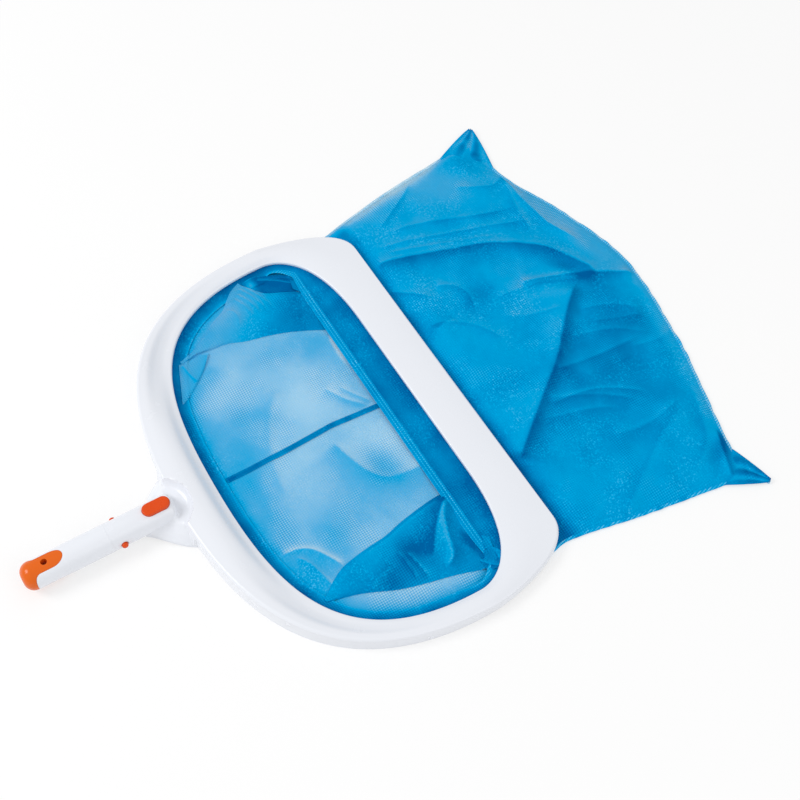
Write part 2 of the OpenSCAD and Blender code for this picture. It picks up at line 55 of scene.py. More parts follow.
# Handle
SPIGOT_R = 14.0
SPIGOT_LEN = 42.0
TUBE_R = 13.8
BORE_R = 11.4
TONGUE_TIP_Y = -21.5
TAIL_Y = -52.5
TONGUE_W = 15.8
TONGUE_END = 12.0
TONGUE_FLARE = 7.0
DOME_LEN = 10.0
PLUG_LEN = 20.0
DRAIN_D = 6.0
DRAIN_Y = TAIL_Y + 13.6
PIN_HOLE_Y = 31.25
PIN_HOLE_D = 7.2
STOP_Y = 55.0
HUMP_END_Y = 85.5
HUMP_ROUND = 4.0
SLIDE_GAP = 0.2
PAST_ALL = 30.0  # further from the axis than any skin of the handle

# Release button and lock legs
BUTTON_Y = 70.3
BUTTON_LEN = 27.0
BUTTON_W = 13.0
BUTTON_TOP = 15.75
BUTTON_ROUND = 1.5
BUTTON_ROOM = 0.5
BUTTON_LOW = 4.3
BORE_END_Y = 80.8
PIVOT_Y = TAIL_Y + 9.5
LEG_X = 6.8
LEG_HALF_H = 2.5
LEG_SLOT_HALF_W = 2.0
LEG_SLOT_LEN = 20.0
LEG_ROOT_ROOM_R = 2.4
PAD_WIDE = 9.35
PAD_NARROW = 3.95

# Frame
MOUTH_W = 428.0
SIDE_W = 21.0
RIM_Y = 87.0
BACK_Y = 129.0
FRONT_Y = 342.0
LIP_Y = 384.5
EDGE_Z = -5.0
FLOOR_Z = (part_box("net_lower_panel")[0] / MM).z
LIP_T = 7.5
SHELL_T = 2.2
EDGE_ROUND = 3.0

# Net
BAG_LEN = 243.0
CLOTH_T = 0.6
SEAM_W = 4.0
THREAD_PITCH = 2.3
STITCH_PITCH = 2.6


def mix(a, b, t):
    return a + (b - a) * t


def smooth(a, b, v):
    t = np.clip((v - a) / (b - a), 0, 1)
    return t * t * (3 - 2 * t)


def bezier(a, b, c, d, t):
    a, b, c, d = (np.array(p, float) for p in (a, b, c, d))
    t = np.asarray(t, float)[..., None]
    return (1 - t) ** 3 * a + 3 * (1 - t) ** 2 * t * b + 3 * (1 - t) * t * t * c + t**3 * d


def unit(v):
    return v / np.linalg.norm(v)


def soft_max(a, b, k):
    h = np.clip(0.5 + (a - b) / (2 * k), 0, 1)
    return mix(b, a, h) + k * h * (1 - h)


def soft_min(a, b, k):
    return -soft_max(-a, -b, k)


# ---------------- mesh helpers


def add_object(name, data):
    obj = bpy.data.objects.new(name, data)
    bpy.context.scene.collection.objects.link(obj)
    return obj


def outward(mesh):
    """Turns every face outwards."""
    bm = bmesh.new()
    bm.from_mesh(mesh)
    bmesh.ops.recalc_face_normals(bm, faces=bm.faces)
    bm.to_mesh(mesh)
    bm.free()


def mesh_object(name, points, faces):
    """A closed mesh from points in millimetres."""
    mesh = bpy.data.meshes.new(name)
    mesh.from_pydata([tuple(float(c) * MM for c in p) for p in points], [], faces)
    mesh.validate()
    outward(mesh)
    return add_object(name, mesh)


def finish(obj, material, node=None, body="head", smooth_angle=35):
    """Shades a piece smooth except at sharp edges, gives it its material, hangs it on its body and hides the
    part it replaces.
    """
    mesh = obj.data
    outward(mesh)
    mesh.shade_smooth()
    if smooth_angle < 180:
        mesh.set_sharp_from_angle(angle=np.radians(smooth_angle))
    mesh.materials.clear()
    mesh.materials.append(materials[material])
    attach(obj, body)
    if node:
        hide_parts(node)
    return obj


def ring_faces(rows, columns, closed_rows=True, closed_columns=True):
    """Quads between the points of a grid, row by row."""
    faces = []
    for i in range(rows if closed_rows else rows - 1):
        for j in range(columns if closed_columns else columns - 1):
            i2 = (i + 1) % rows
            j2 = (j + 1) % columns
            faces.append((i * columns + j, i * columns + j2, i2 * columns + j2, i2 * columns + j))
    return faces


def capped_faces(rows, columns):
    """Quads between the points of an open tube, and a face over each of its ends."""
    faces = ring_faces(rows, columns, closed_rows=False)
    return faces + [tuple(range(columns))[::-1], tuple(range((rows - 1) * columns, rows * columns))]


def boolean(obj, cutter, operation="DIFFERENCE"):
    modifier = obj.modifiers.new("cut", "BOOLEAN")
    modifier.operation = operation
    modifier.solver = "EXACT"
    modifier.object = cutter
    apply_modifiers(obj)
    bpy.data.objects.remove(cutter)


def apply_modifiers(obj):
    bpy.context.view_layer.update()
    graph = bpy.context.evaluated_depsgraph_get()
    mesh = bpy.data.meshes.new_from_object(obj.evaluated_get(graph))
    obj.modifiers.clear()
    old = obj.data
    obj.data = mesh
    bpy.data.meshes.remove(old)


def arc(cx, cy, r, a0, a1, steps):
    """Points of an arc, with angles in degrees."""
    return [
        (cx + r * np.cos(np.radians(a)), cy + r * np.sin(np.radians(a)))
        for a in np.linspace(a0, a1, steps + 1)
    ]


# ---------------- materials

materials = {}

# The Mix node's sockets when it mixes colours.
MIX_A = 6
MIX_B = 7
MIX_RESULT = 2


class Value:
    """A shader socket that takes part in arithmetic."""

    def __init__(self, n, socket):
        self.n = n
        self.socket = socket

    def __add__(self, other):
        return self.n.math("ADD", self, other)

    def __sub__(self, other):
        return self.n.math("SUBTRACT", self, other)

    def __rsub__(self, other):
        return self.n.math("SUBTRACT", other, self)

    def __mul__(self, other):
        return self.n.math("MULTIPLY", self, other)

    def __truediv__(self, other):
        return self.n.math("DIVIDE", self, other)


class Nodes:
    """A material's shader nodes."""

    def __init__(self, name):
        self.material = bpy.data.materials.new(name)
        self.material.use_nodes = True
        self.tree = self.material.node_tree
        self.shader = self.tree.nodes["Principled BSDF"]
        self.place = self.output(self.node("TexCoord"), "Object")
        materials[name] = self.material

    def node(self, kind):
        return self.tree.nodes.new("ShaderNode" + kind)

    def output(self, node, key=0):
        return Value(self, node.outputs[key])

    def put(self, node, key, value):
        if isinstance(value, Value):
            self.tree.links.new(value.socket, node.inputs[key])
        else:
            node.inputs[key].default_value = value

    def look(self, **inputs):
        for key, value in inputs.items():
            self.put(self.shader, key.replace("_", " "), value)

    def math(self, operation, a, b=0.0):
        node = self.node("Math")
        node.operation = operation
        self.put(node, 0, a)
        self.put(node, 1, b)
        return self.output(node)

    def sine(self, a):
        return self.math("SINE", a)

    def noise(self, scale, detail=3.0, roughness=0.55):
        node = self.node("TexNoise")
        inputs = {"Vector": self.place, "Scale": scale, "Detail": detail, "Roughness": roughness}
        for key, value in inputs.items():
            self.put(node, key, value)
        return self.output(node, "Fac")

    def ramp(self, value, low, high, to_low, to_high):
        node = self.node("MapRange")
        node.interpolation_type = "SMOOTHSTEP"
        for index, entry in enumerate((value, low, high, to_low, to_high)):
            self.put(node, index, entry)
        return self.output(node)

    def blend(self, factor, a, b):
        node = self.node("Mix")
        node.data_type = "RGBA"
        self.put(node, 0, factor)
        self.put(node, MIX_A, (*a, 1))
        self.put(node, MIX_B, (*b, 1))
        return self.output(node, MIX_RESULT)

    def bump(self, height, strength, distance):
        node = self.node("Bump")
        self.put(node, "Strength", strength)
        self.put(node, "Distance", distance)
        self.put(node, "Height", height)
        self.look(Normal=self.output(node))


def plastic(name, colour, darker, roughness, gloss=0.5):
    """Moulded plastic: slow colour drift, faint handling marks in the gloss, and a fine moulded skin."""
    n = Nodes(name)
    drift = n.ramp(n.noise(14.0), 0.35, 0.7, 0.0, 0.2)
    marks = n.ramp(n.noise(60.0, 4.0), 0.3, 0.75, roughness, roughness + 0.06)
    n.look(Base_Color=n.blend(drift, colour, darker), Roughness=marks, IOR=1.49, Specular_IOR_Level=gloss)
    n.bump(n.noise(500.0, 2.0), 0.006, 0.0004)


# Colour of the mesh by its tone, from a stretched single sheet to a pocket: how many sheets lie on each
# other, with the painted shade and painted highlights of folds, lips and rims added in.
LAYER_AND_SHADE_COLOURS = [
    (0.0, (0.56, 0.86, 1.0)),
    (0.2, (0.27, 0.68, 0.96)),
    (0.34, (0.06, 0.51, 0.89)),
    (0.5, (0.0, 0.41, 0.79)),
    (0.7, (0.0, 0.27, 0.60)),
    (1.0, (0.0, 0.12, 0.36)),
]
MOST_LAYERS_AND_SHADE = 3.0


def net_cloth(name, stitches=False):
    """Fine mesh: warp and weft threads that show in patches, and painted glints, over a tone that counts the
    sheets lying on each other and holds painted shade and painted highlights.
    """
    n = Nodes(name)
    split = n.node("SeparateXYZ")
    n.put(split, 0, n.place)
    x = n.output(split, "X")
    y = n.output(split, "Y")
    attribute = n.node("Attribute")
    attribute.attribute_name = "layers_and_shade"
    layers_and_shade = n.output(attribute, "Fac")
    slow = n.noise(11.0, 2.0)
    per_thread = TURN / (THREAD_PITCH * MM)
    warp = n.sine(x * per_thread + slow * 34.0)
    weft = n.sine(y * per_thread - slow * 26.0)
    threads = (warp + weft) * 0.5
    shown = n.ramp(n.noise(19.0), 0.47, 0.6, 0.12, 1.0)
    cloudy = n.noise(34.0, 4.0) - 0.5
    specks = n.ramp(n.noise(520.0, 3.0, 0.6), 0.44, 0.72, -0.2, 1.0)
    speckled = n.ramp(n.noise(27.0, 5.0), 0.4, 0.66, 0.15, 1.0)
    doubled_with_shade = n.ramp(layers_and_shade, 1.0, 1.7, 0.0, 1.0)
    solid = layers_and_shade * (1.0 - cloudy * 0.5)
    woven = threads * shown * (0.62 - doubled_with_shade * 0.22)
    # Painted glints: small lighter specks of painted highlight, more of them where the cloth is deep in tone.
    glints = specks * speckled * (doubled_with_shade * 0.5 + 0.15)
    tone = solid - woven - glints
    if stitches:
        sewn = n.ramp(n.sine((x + y * 0.3) * (TURN / (STITCH_PITCH * MM))), -0.2, 0.9, 0.0, 1.0)
        in_row = n.ramp(layers_and_shade, 1.62, 2.0, 1.0, 0.0)
        along_lip = n.ramp(y, 0.285, 0.305, 0.0, 0.7)
        tone = tone - sewn * in_row * along_lip
    ramp = n.node("ValToRGB")
    n.put(ramp, 0, tone / MOST_LAYERS_AND_SHADE)
    steps = ramp.color_ramp.elements  # a new ramp has its first and last step at 0 and 1
    steps[0].color = (*LAYER_AND_SHADE_COLOURS[0][1], 1)
    steps[1].color = (*LAYER_AND_SHADE_COLOURS[-1][1], 1)
    for position, colour in LAYER_AND_SHADE_COLOURS[1:-1]:
        steps.new(position).color = (*colour, 1)
    n.look(
        Base_Color=n.output(ramp, "Color"),
        Alpha=n.ramp(solid, 0.1, 1.9, 0.3, 0.985),
        Roughness=n.ramp(threads, -0.8, 0.8, 0.72, 0.6),
        Specular_IOR_Level=0.0,
    )
    n.bump(threads, 0.25, 0.0003)


def steel(name):
    n = Nodes(name)
    n.look(
        Metallic=1.0,
        Base_Color=n.blend(n.noise(400.0), (0.55, 0.55, 0.57), (0.7, 0.7, 0.72)),
        Roughness=n.ramp(n.noise(900.0), 0.3, 0.7, 0.28, 0.45),
    )


def make_materials():
    plastic("white", (0.85, 0.875, 0.93), (0.82, 0.845, 0.90), 0.22)
    # A darker, rougher copy of the frame's white for the frame base: the darkening is painted shade.
    plastic("white_painted_shade", (0.70, 0.72, 0.76), (0.64, 0.66, 0.70), 0.4)
    plastic("orange", (0.80, 0.135, 0.004), (0.72, 0.11, 0.003), 0.14, gloss=0.35)
    plastic("signal", (0.76, 0.075, 0.006), (0.66, 0.06, 0.005), 0.24, gloss=0.25)
    net_cloth("net")
    net_cloth("seam", stitches=True)
    steel("steel")


# ---------------- frame


def half_outline(half_w, y_front, y_back, corner_in, corner_out, wide_back, wide_up, sweep_up, sweep_in):
    """From the middle of the front to the middle of the back, with each point's share of the way."""
    wide = (half_w, y_front - wide_back)
    start = (half_w - corner_in, y_front)
    tail = (0, y_back)
    straight = np.linspace(0, 1, 24, endpoint=False)
    corner = np.linspace(0, 1, 56, endpoint=False)
    sweep = np.concatenate([np.linspace(0, 0.72, 56, endpoint=False), np.linspace(0.72, 1, 64)])
    points = np.concatenate([
        np.stack([start[0] * straight, np.full_like(straight, y_front)], 1),
        bezier(start, (half_w - corner_out, y_front), (wide[0], wide[1] + wide_up), wide, corner),
        bezier(wide, (wide[0], wide[1] - sweep_up), (sweep_in, y_back), tail, sweep),
    ])
    share = np.concatenate([straight * 4, 4 + corner * 12, 16 + sweep * 20]) / 36
    return points, share


def mirrored(points):
    return np.concatenate([points, points[-2:0:-1] * [-1, 1]])


inner_half, share_half = half_outline(
    MOUTH_W / 2, FRONT_Y, BACK_Y,
    corner_in=111, corner_out=6, wide_back=55, wide_up=9, sweep_up=140, sweep_in=121,
)
outer_half, _ = half_outline(
    MOUTH_W / 2 + SIDE_W, LIP_Y, RIM_Y,
    corner_in=49, corner_out=10, wide_back=92, wide_up=10, sweep_up=160, sweep_in=135,
)
inner_line = mirrored(inner_half)
outer_line = mirrored(outer_half)
shares = np.concatenate([share_half, share_half[-2:0:-1]])

# Heights of the frame's top above the mouth's edge at 12, 30, 50 and 70 percent of its width
# and at its outer edge, from the lip (share 0) to the back (share 1).
TOP_KEYS = np.array([0, 0.11, 0.28, 0.44, 0.61, 0.75, 0.9, 1])
TOP_HEIGHTS = np.array([
    [0.6, 0.9, 1.0, 0.7, -0.2],
    [0.6, 0.9, 1.0, 0.7, -0.2],
    [1.1, 2.3, 2.7, 2.0, 0.4],
    [1.3, 2.9, 3.7, 3.7, 2.8],
    [0.9, 1.8, 3.5, 5.8, 6.2],
    [0.9, 2.6, 5.8, 9.8, 11.0],
    [2.8, 9.2, 12.4, 13.2, 12.4],
    [3.4, 10.6, 13.2, 13.6, 12.6],
])


def hermite(keys, values, x):
    """Smooth curve through the keys, with each slope from its two neighbours."""
    slopes = np.empty_like(values)
    slopes[1:-1] = (values[2:] - values[:-2]) / (keys[2:] - keys[:-2])[:, None]
    slopes[0] = (values[1] - values[0]) / (keys[1] - keys[0])
    slopes[-1] = (values[-1] - values[-2]) / (keys[-1] - keys[-2])
    i = np.clip(np.searchsorted(keys, x, side="right") - 1, 0, len(keys) - 2)
    span = keys[i + 1] - keys[i]
    t = ((x - keys[i]) / span)[..., None]
    span = span[..., None]
    return (
        values[i] * (2 * t**3 - 3 * t**2 + 1)
        + slopes[i] * span * (t**3 - 2 * t**2 + t)
        + values[i + 1] * (3 * t**2 - 2 * t**3)
        + slopes[i + 1] * span * (t**3 - t**2)
    )


def underside(y):
    return mix(FLOOR_Z, EDGE_Z - LIP_T, smooth(FRONT_Y - 105, FRONT_Y - 15, y)) - EDGE_Z


# The neck: a flat dish between the tube and the rim, with sides that slope to the floor.
NECK_HALF_W = 42.0
DISH_Z = 0.6
SCOOP_R = 31.0
SCOOP_FILLET = 7.0
SCOOP_Y = RIM_Y - 15
TUBE_FILLET = 3.5
NECK_CURVE = bezier(
    (STOP_Y - 3, 10), (STOP_Y + 5, 14), (STOP_Y + 15, 31), (STOP_Y + 34, NECK_HALF_W),
    np.linspace(0, 1, 60),
)

# The mouth's edge, rounded over: distances from the mouth, and heights above the edge.
EDGE_CURVE = [(0, -3.2), (0, -2.2), (0, -1.3), (0.15, -0.8), (0.5, -0.35), (1.0, -0.05)]
EDGE_END = (1.6, 0.2)


def neck_half_width(y):
    return np.interp(y, NECK_CURVE[:, 0], NECK_CURVE[:, 1], left=0)


def neck_bottom(y):
    return mix(-TUBE_R + 0.5, FLOOR_Z, smooth(STOP_Y, RIM_Y, y))


def neck_top(x, y):
    """Height of the neck's skin at a place in plan."""
    x = abs(x)
    foot = float(neck_half_width(min(y, RIM_Y + 3)))
    shoulder = mix(9, 25, float(smooth(STOP_Y + 19, RIM_Y + 2, y)))
    low = float(neck_bottom(y))
    side = mix(shoulder, foot, 0.62)
    at = [0, shoulder - 2, shoulder + 1, side, max(foot, side + 0.5)]
    z = [DISH_Z, DISH_Z, DISH_Z - 1.0, mix(DISH_Z, low, 0.45), low + 2.5]
    height = float(np.interp(x, at, z))
    corner = np.array([TUBE_R - HUMP_ROUND, HUMP_END_Y - HUMP_ROUND])
    gap = np.array([x, y]) - corner
    outside = np.linalg.norm(np.maximum(gap, 0)) + min(max(gap[0], gap[1]), 0) - HUMP_ROUND
    d = np.clip(outside, 0, TUBE_FILLET)
    return height + TUBE_FILLET - np.sqrt(TUBE_FILLET**2 - (TUBE_FILLET - d) ** 2)


def scoop_top(x, y):
    """The scoop that the dish cuts into the rim."""
    r = np.hypot(x, y - SCOOP_Y)
    if r < SCOOP_R - SCOOP_FILLET:
        return DISH_Z
    if r < SCOOP_R:
        return DISH_Z + SCOOP_FILLET - np.sqrt(SCOOP_FILLET**2 - (r - SCOOP_R + SCOOP_FILLET) ** 2)
    return DISH_Z + SCOOP_FILLET + 4 * (r - SCOOP_R)


def resample(path, count):
    path = np.asarray(path, float)
    steps = np.r_[0, np.cumsum(np.linalg.norm(np.diff(path, axis=0), axis=1))]
    at = np.linspace(0, steps[-1], count)
    return np.stack([np.interp(at, steps, path[:, k]) for k in range(path.shape[1])], 1)


def frame_section(i):
    """Points round the frame's shell at one station, from the mouth over the top and back inside."""
    a, b = inner_line[i], outer_line[i]
    w = np.linalg.norm(b - a)
    d = (b - a) / w
    h = hermite(TOP_KEYS, TOP_HEIGHTS, np.array(shares[i]))
    low = float(underside(a[1]))
    t = SHELL_T
    round_start = w - EDGE_ROUND
    at = np.array([EDGE_END[0], 0.12 * w + 0.6, 0.3 * w, 0.5 * w, 0.7 * w, round_start])
    profile = np.array([EDGE_END[1], *h])[:, None]

    def place(s):
        return a + d * s

    def ring_top(s):
        over = s - round_start
        if over <= 0:
            return EDGE_Z + float(hermite(at, profile, np.array(s))[0])
        if over <= EDGE_ROUND:
            return EDGE_Z + h[4] - EDGE_ROUND + np.sqrt(max(EDGE_ROUND**2 - over**2, 0))
        return EDGE_Z + h[4] - EDGE_ROUND - 6 * (over - EDGE_ROUND)

    # Next to the neck, the section goes on past the rim as far as the neck does.
    reach = w
    if abs(b[0]) < NECK_HALF_W and b[1] < BACK_Y:
        for extra in np.arange(0, 40, 0.25):
            x, y = place(w + extra)
            if y < STOP_Y - 3 or abs(x) > neck_half_width(y):
                break
            reach = w + extra
    in_neck = reach > w + 0.3

    def top(s):
        z = ring_top(s)
        x, y = place(s)
        if abs(x) < NECK_HALF_W + 6 and y < BACK_Y - 8:
            if np.hypot(x, y - SCOOP_Y) < SCOOP_R + 6:
                z = float(soft_min(z, scoop_top(x, y), 1.2))
            if in_neck and s > w - 8:
                z = float(soft_max(z, neck_top(x, y), 0.6))
        return z

    # The outside: the mouth's edge, the top, the outer wall and the bottom.
    rows = [(s, EDGE_Z + z) for s, z in EDGE_CURVE]
    across = [
        np.linspace(EDGE_END[0], round_start - 6, 26),
        np.linspace(round_start - 6, round_start, 9)[1:],
        round_start + EDGE_ROUND * np.sin(np.linspace(0, np.pi / 2, 10)[1:]),
    ]
    rows += [(s, top(s)) for s in np.concatenate(across)]
    outer = [rows[-1]]
    bottom = EDGE_Z + low
    if in_neck:
        outer = [(s, top(s)) for s in np.append(np.arange(w, reach, 0.5), reach)]
        bottom = float(neck_bottom(place(reach)[1]))
    outer.append((reach, bottom))
    under = np.linspace((reach, bottom), (w - t, EDGE_Z + low), 8)[1:]
    rows += [tuple(p) for p in np.concatenate([resample(outer, 26)[1:], under])]

    # The inside, one wall's thickness below the top, and filled up next to the neck.
    by_neck = 1 - float(smooth(NECK_HALF_W + 2, NECK_HALF_W + 18, abs(b[0])))
    fill = by_neck if b[1] < BACK_Y + 60 else 0.0
    shell = [(w - t, h[4] - EDGE_ROUND - 0.5), (round_start - 0.6 * t, h[4] - t)]
    shell += [(at[k + 1], h[k] - t) for k in (3, 2, 1)]
    inside = [(s, mix(z, low + 3, fill)) for s, z in shell]
    inside += [(max(at[1], t + 0.6), min(h[0] - t, -1.4)), (t, -2.1), (t, -3.2)]
    rows += [(s, EDGE_Z + z) for s, z in inside]
    return [(*place(s), z) for s, z in rows]


def make_frame_ring():
    sections = [frame_section(i) for i in range(len(inner_line))]
    points = [p for section in sections for p in section]
    ring = mesh_object("frame_ring", points, ring_faces(len(sections), len(sections[0])))
    finish(ring, "white", "frame_top", smooth_angle=40)


# ---------------- handle


def block(outline, place):
    """A closed prism: place(a, b, end) gives the outline's point (a, b) at either end."""
    n = len(outline)
    points = [place(a, b, end) for end in (0, 1) for a, b in outline]
    faces = [tuple(range(n))[::-1], tuple(range(n, 2 * n))]
    faces += [(i, (i + 1) % n, n + (i + 1) % n, n + i) for i in range(n)]
    return mesh_object("block", points, faces)


def upright(outline, z0, z1):
    """A prism on a plan outline, between two heights."""
    return block(outline, lambda x, y, end: (x, y, z1 if end else z0))


def revolved(name, profile, segments=96):
    """A closed solid turned about the handle's axis, from (y, radius) points."""
    angles = [TURN * k / segments for k in range(segments)]
    points = [(r * np.cos(a), y, r * np.sin(a)) for y, r in profile for a in angles]
    return mesh_object(name, points, capped_faces(len(profile), segments))


def oval(length, width, steps=24):
    run = (length - width) / 2
    return arc(0, run, width / 2, 0, 180, steps) + arc(0, -run, width / 2, 180, 360, steps)


def cap_plan(grow):
    """Plan outline of the cap's skin: a tongue that flares into the cap's rim."""
    half = TONGUE_W / 2 + grow
    wide = half + TONGUE_FLARE
    right = [(wide, TAIL_Y - 40), (wide, TAIL_Y + grow)]
    right += arc(wide, TAIL_Y + TONGUE_FLARE + grow, TONGUE_FLARE, -90, -180, 14)
    right += [
        (half * np.cos(a), TONGUE_TIP_Y - TONGUE_END + (TONGUE_END + grow) * np.sin(a))
        for a in np.linspace(0, np.pi / 2, 20)
    ]
    return right + [(-x, y) for x, y in right[-2::-1]]


def soften(obj, width, segments=3):
    """Rounds the sharp edges."""
    modifier = obj.modifiers.new("soften", "BEVEL")
    modifier.width = width * MM
    modifier.segments = segments
    modifier.limit_method = "ANGLE"
    modifier.angle_limit = np.radians(50)
    modifier.use_clamp_overlap = True
    apply_modifiers(obj)


def make_handle():
    """The tube with its slots for the cap, the button and the pins."""
    step = SPIGOT_R - TUBE_R
    bearing = SPIGOT_LEN / 2
    profile = [
        (TAIL_Y, TUBE_R),
        (-bearing, TUBE_R),
        (-bearing + step, SPIGOT_R),
        (bearing - step, SPIGOT_R),
        (bearing, TUBE_R),
    ]
    profile += [(y, r) for y, r in arc(HUMP_END_Y - HUMP_ROUND, TUBE_R - HUMP_ROUND, HUMP_ROUND, 90, 0, 10)]
    tube = revolved("frame_handle", profile)
    boolean(tube, revolved("bore", [(TAIL_Y - 1, BORE_R), (BORE_END_Y, BORE_R)]))
    button_slot = oval(BUTTON_LEN + BUTTON_ROOM, BUTTON_W + BUTTON_ROOM)
    boolean(tube, upright([(x, y + BUTTON_Y) for x, y in button_slot], 0, PAST_ALL))
    boolean(tube, upright(cap_plan(SLIDE_GAP), -PAST_ALL, PAST_ALL))
    hole = arc(PIN_HOLE_Y, 0, PIN_HOLE_D / 2, 0, 360, 40)[:-1]
    hole_ends = (8, 20)  # inside the bore and outside the tube
    for side in (1, -1):
        boolean(tube, block(hole, lambda y, z, end: (side * hole_ends[end], y, z)))
    soften(tube, 0.35)
    finish(tube, "white", "handle_tube")


def make_cap():
    """The end cap: its dome, two tongues that run up the tube, and the hole for the water to drain."""
    core_r = BORE_R - SLIDE_GAP
    inner_r = BORE_R - 1.5
    profile = [(TAIL_Y - DOME_LEN, 0.4)]
    profile += [
        (TAIL_Y - DOME_LEN * np.cos(a), TUBE_R - DOME_LEN + DOME_LEN * np.sin(a))
        for a in np.linspace(0, np.pi / 2, 20)
    ]
    cap = revolved("cap", profile + [(TONGUE_TIP_Y, TUBE_R)])
    boolean(cap, upright(cap_plan(0), -PAST_ALL, PAST_ALL), "INTERSECT")
    boolean(cap, revolved("hollow", [(TAIL_Y + 1, inner_r), (TONGUE_TIP_Y + 5, inner_r)]))
    boolean(cap, revolved("plug", [(TAIL_Y - 1, core_r), (TAIL_Y + PLUG_LEN, core_r)]), "UNION")
    boolean(cap, upright(arc(0, DRAIN_Y, DRAIN_D / 2, 0, 360, 48)[:-1], -PAST_ALL, PAST_ALL))
    half_h = LEG_HALF_H + SLIDE_GAP
    for side in (1, -1):
        x = side * LEG_X
        root = arc(x, PIVOT_Y, LEG_ROOT_ROOM_R, 0, 360, 32)[:-1]
        x0, x1 = x - LEG_SLOT_HALF_W, x + LEG_SLOT_HALF_W
        y0, y1 = PIVOT_Y, PIVOT_Y + LEG_SLOT_LEN
        for room in (root, [(x0, y0), (x1, y0), (x1, y1), (x0, y1)]):
            boolean(cap, upright(room, -half_h, half_h))
    soften(cap, 0.6, 4)
    finish(cap, "orange", "end_cap")


def make_button():
    """The button's oval head with its edge rounded over, on a block whose hollow squeezes the legs."""
    levels = [(0.0, BUTTON_LOW)]
    levels += [(BUTTON_ROUND - x, BUTTON_TOP + z) for x, z in arc(0, -BUTTON_ROUND, BUTTON_ROUND, 0, 90, 9)]
    levels += [(3.0, BUTTON_TOP + 0.12), (5.0, BUTTON_TOP + 0.22)]
    points = [
        (x, y + BUTTON_Y, z)
        for inset, z in levels
        for x, y in oval(BUTTON_LEN - 2 * inset, BUTTON_W - 2 * inset)
    ]
    head = mesh_object("button", points, capped_faces(len(levels), len(points) // len(levels)))
    r = BORE_R - SLIDE_GAP
    wide = BORE_R - 1
    start = np.arccos(wide / r)
    crown = [(r * np.cos(a), r * np.sin(a)) for a in np.linspace(start, np.pi - start, 24)]
    ends = (BUTTON_Y - BUTTON_LEN / 2 - 2, BORE_END_Y - SLIDE_GAP)
    boolean(head, block([(wide, 0)] + crown + [(-wide, 0)], lambda x, z, end: (x, ends[end], z)), "UNION")
    wedge = [(PAD_WIDE + 0.3, -1), (PAD_WIDE, LEG_HALF_H), (PAD_NARROW, 6.5), (PAD_NARROW, 7.3)]
    cut_ends = (ends[0] - 1, BORE_END_Y + 1)
    hollow = [(-x, z) for x, z in wedge] + wedge[::-1]
    boolean(head, block(hollow, lambda x, z, end: (x, cut_ends[end], z)))
    finish(head, "signal", "release_button", "button", 50)


# ---------------- net

LEFT_EDGE = [(-1.03, -0.1), (-1.07, 0.03), (-1.14, 0.3), (-1.19, 0.58), (-1.23, 0.74), (-1.29, 0.83)]
RIGHT_EDGE = [(1.0, -0.1), (0.99, 0.03), (1.05, 0.3), (1.1, 0.58), (1.13, 0.72), (1.2, 0.83)]
FAR_EDGE = [
    (-1.29, 0.83), (-1.13, 0.79), (-0.9, 0.81), (-0.56, 0.92), (-0.14, 1.0),
    (0.36, 0.94), (0.7, 0.86), (0.95, 0.8), (1.08, 0.79), (1.2, 0.83),
]
SIDE_START_Y = FRONT_Y - 30
CORNER_CUT = 6  # points of each edge's line that are left out at the bag's corners


def bag_point(p):
    return np.array([p[0] * MOUTH_W / 2, LIP_Y + p[1] * BAG_LEN])


def through(points, steps=8):
    """A smooth curve through the points."""
    p = np.asarray(points, float)
    p = np.concatenate([p[:1], p, p[-1:]])
    t = np.arange(steps)[:, None] / steps
    spans = [
        0.5 * (2 * b + (c - a) * t + (2 * a - 5 * b + 4 * c - d) * t * t + (3 * b - a - 3 * c + d) * t**3)
        for a, b, c, d in zip(p, p[1:], p[2:], p[3:])
    ]
    return np.concatenate(spans + [p[-1:]])


def directions(line, closed=False):
    """Unit steps along a line."""
    ahead = np.roll(line, -1, 0) - np.roll(line, 1, 0) if closed else np.gradient(line, axis=0)
    return ahead / np.linalg.norm(ahead, axis=1)[:, None]


def rightwards(line, closed=False):
    """Unit steps to the right of a plan line."""
    ahead = directions(line, closed)
    return np.stack([ahead[:, 1], -ahead[:, 0]], 1)


def moved(line, distance):
    """The line moved to its right."""
    return line + distance * rightwards(line)


def bag_line(points, start=()):
    return through(list(start) + [bag_point(p) for p in points], 16)


left_line = bag_line(LEFT_EDGE, [(-MOUTH_W / 2 - 1, SIDE_START_Y)])
right_line = bag_line(RIGHT_EDGE, [(MOUTH_W / 2 + 1, SIDE_START_Y)])
far_line = bag_line(FAR_EDGE)


def along_line(x, y, line):
    """Distance of each point from a line, positive on its left, and the share of the way along it."""
    line = np.asarray(line, float)
    a = line[:-1]
    run = line[1:] - a
    length = np.linalg.norm(run, axis=1)
    off_x = np.asarray(x, float)[..., None] - a[:, 0]
    off_y = np.asarray(y, float)[..., None] - a[:, 1]
    t = np.clip((off_x * run[:, 0] + off_y * run[:, 1]) / length**2, 0, 1)
    off_x -= t * run[:, 0]
    off_y -= t * run[:, 1]
    far = np.hypot(off_x, off_y)
    k = far.argmin(-1)

    def nearest(values):
        return np.take_along_axis(values, k[..., None], -1)[..., 0]

    side = np.where(run[k, 0] * nearest(off_y) - run[k, 1] * nearest(off_x) >= 0, 1, -1)
    start = np.r_[0, np.cumsum(length)]
    return side * nearest(far), (start[k] + nearest(t) * length[k]) / start[-1]


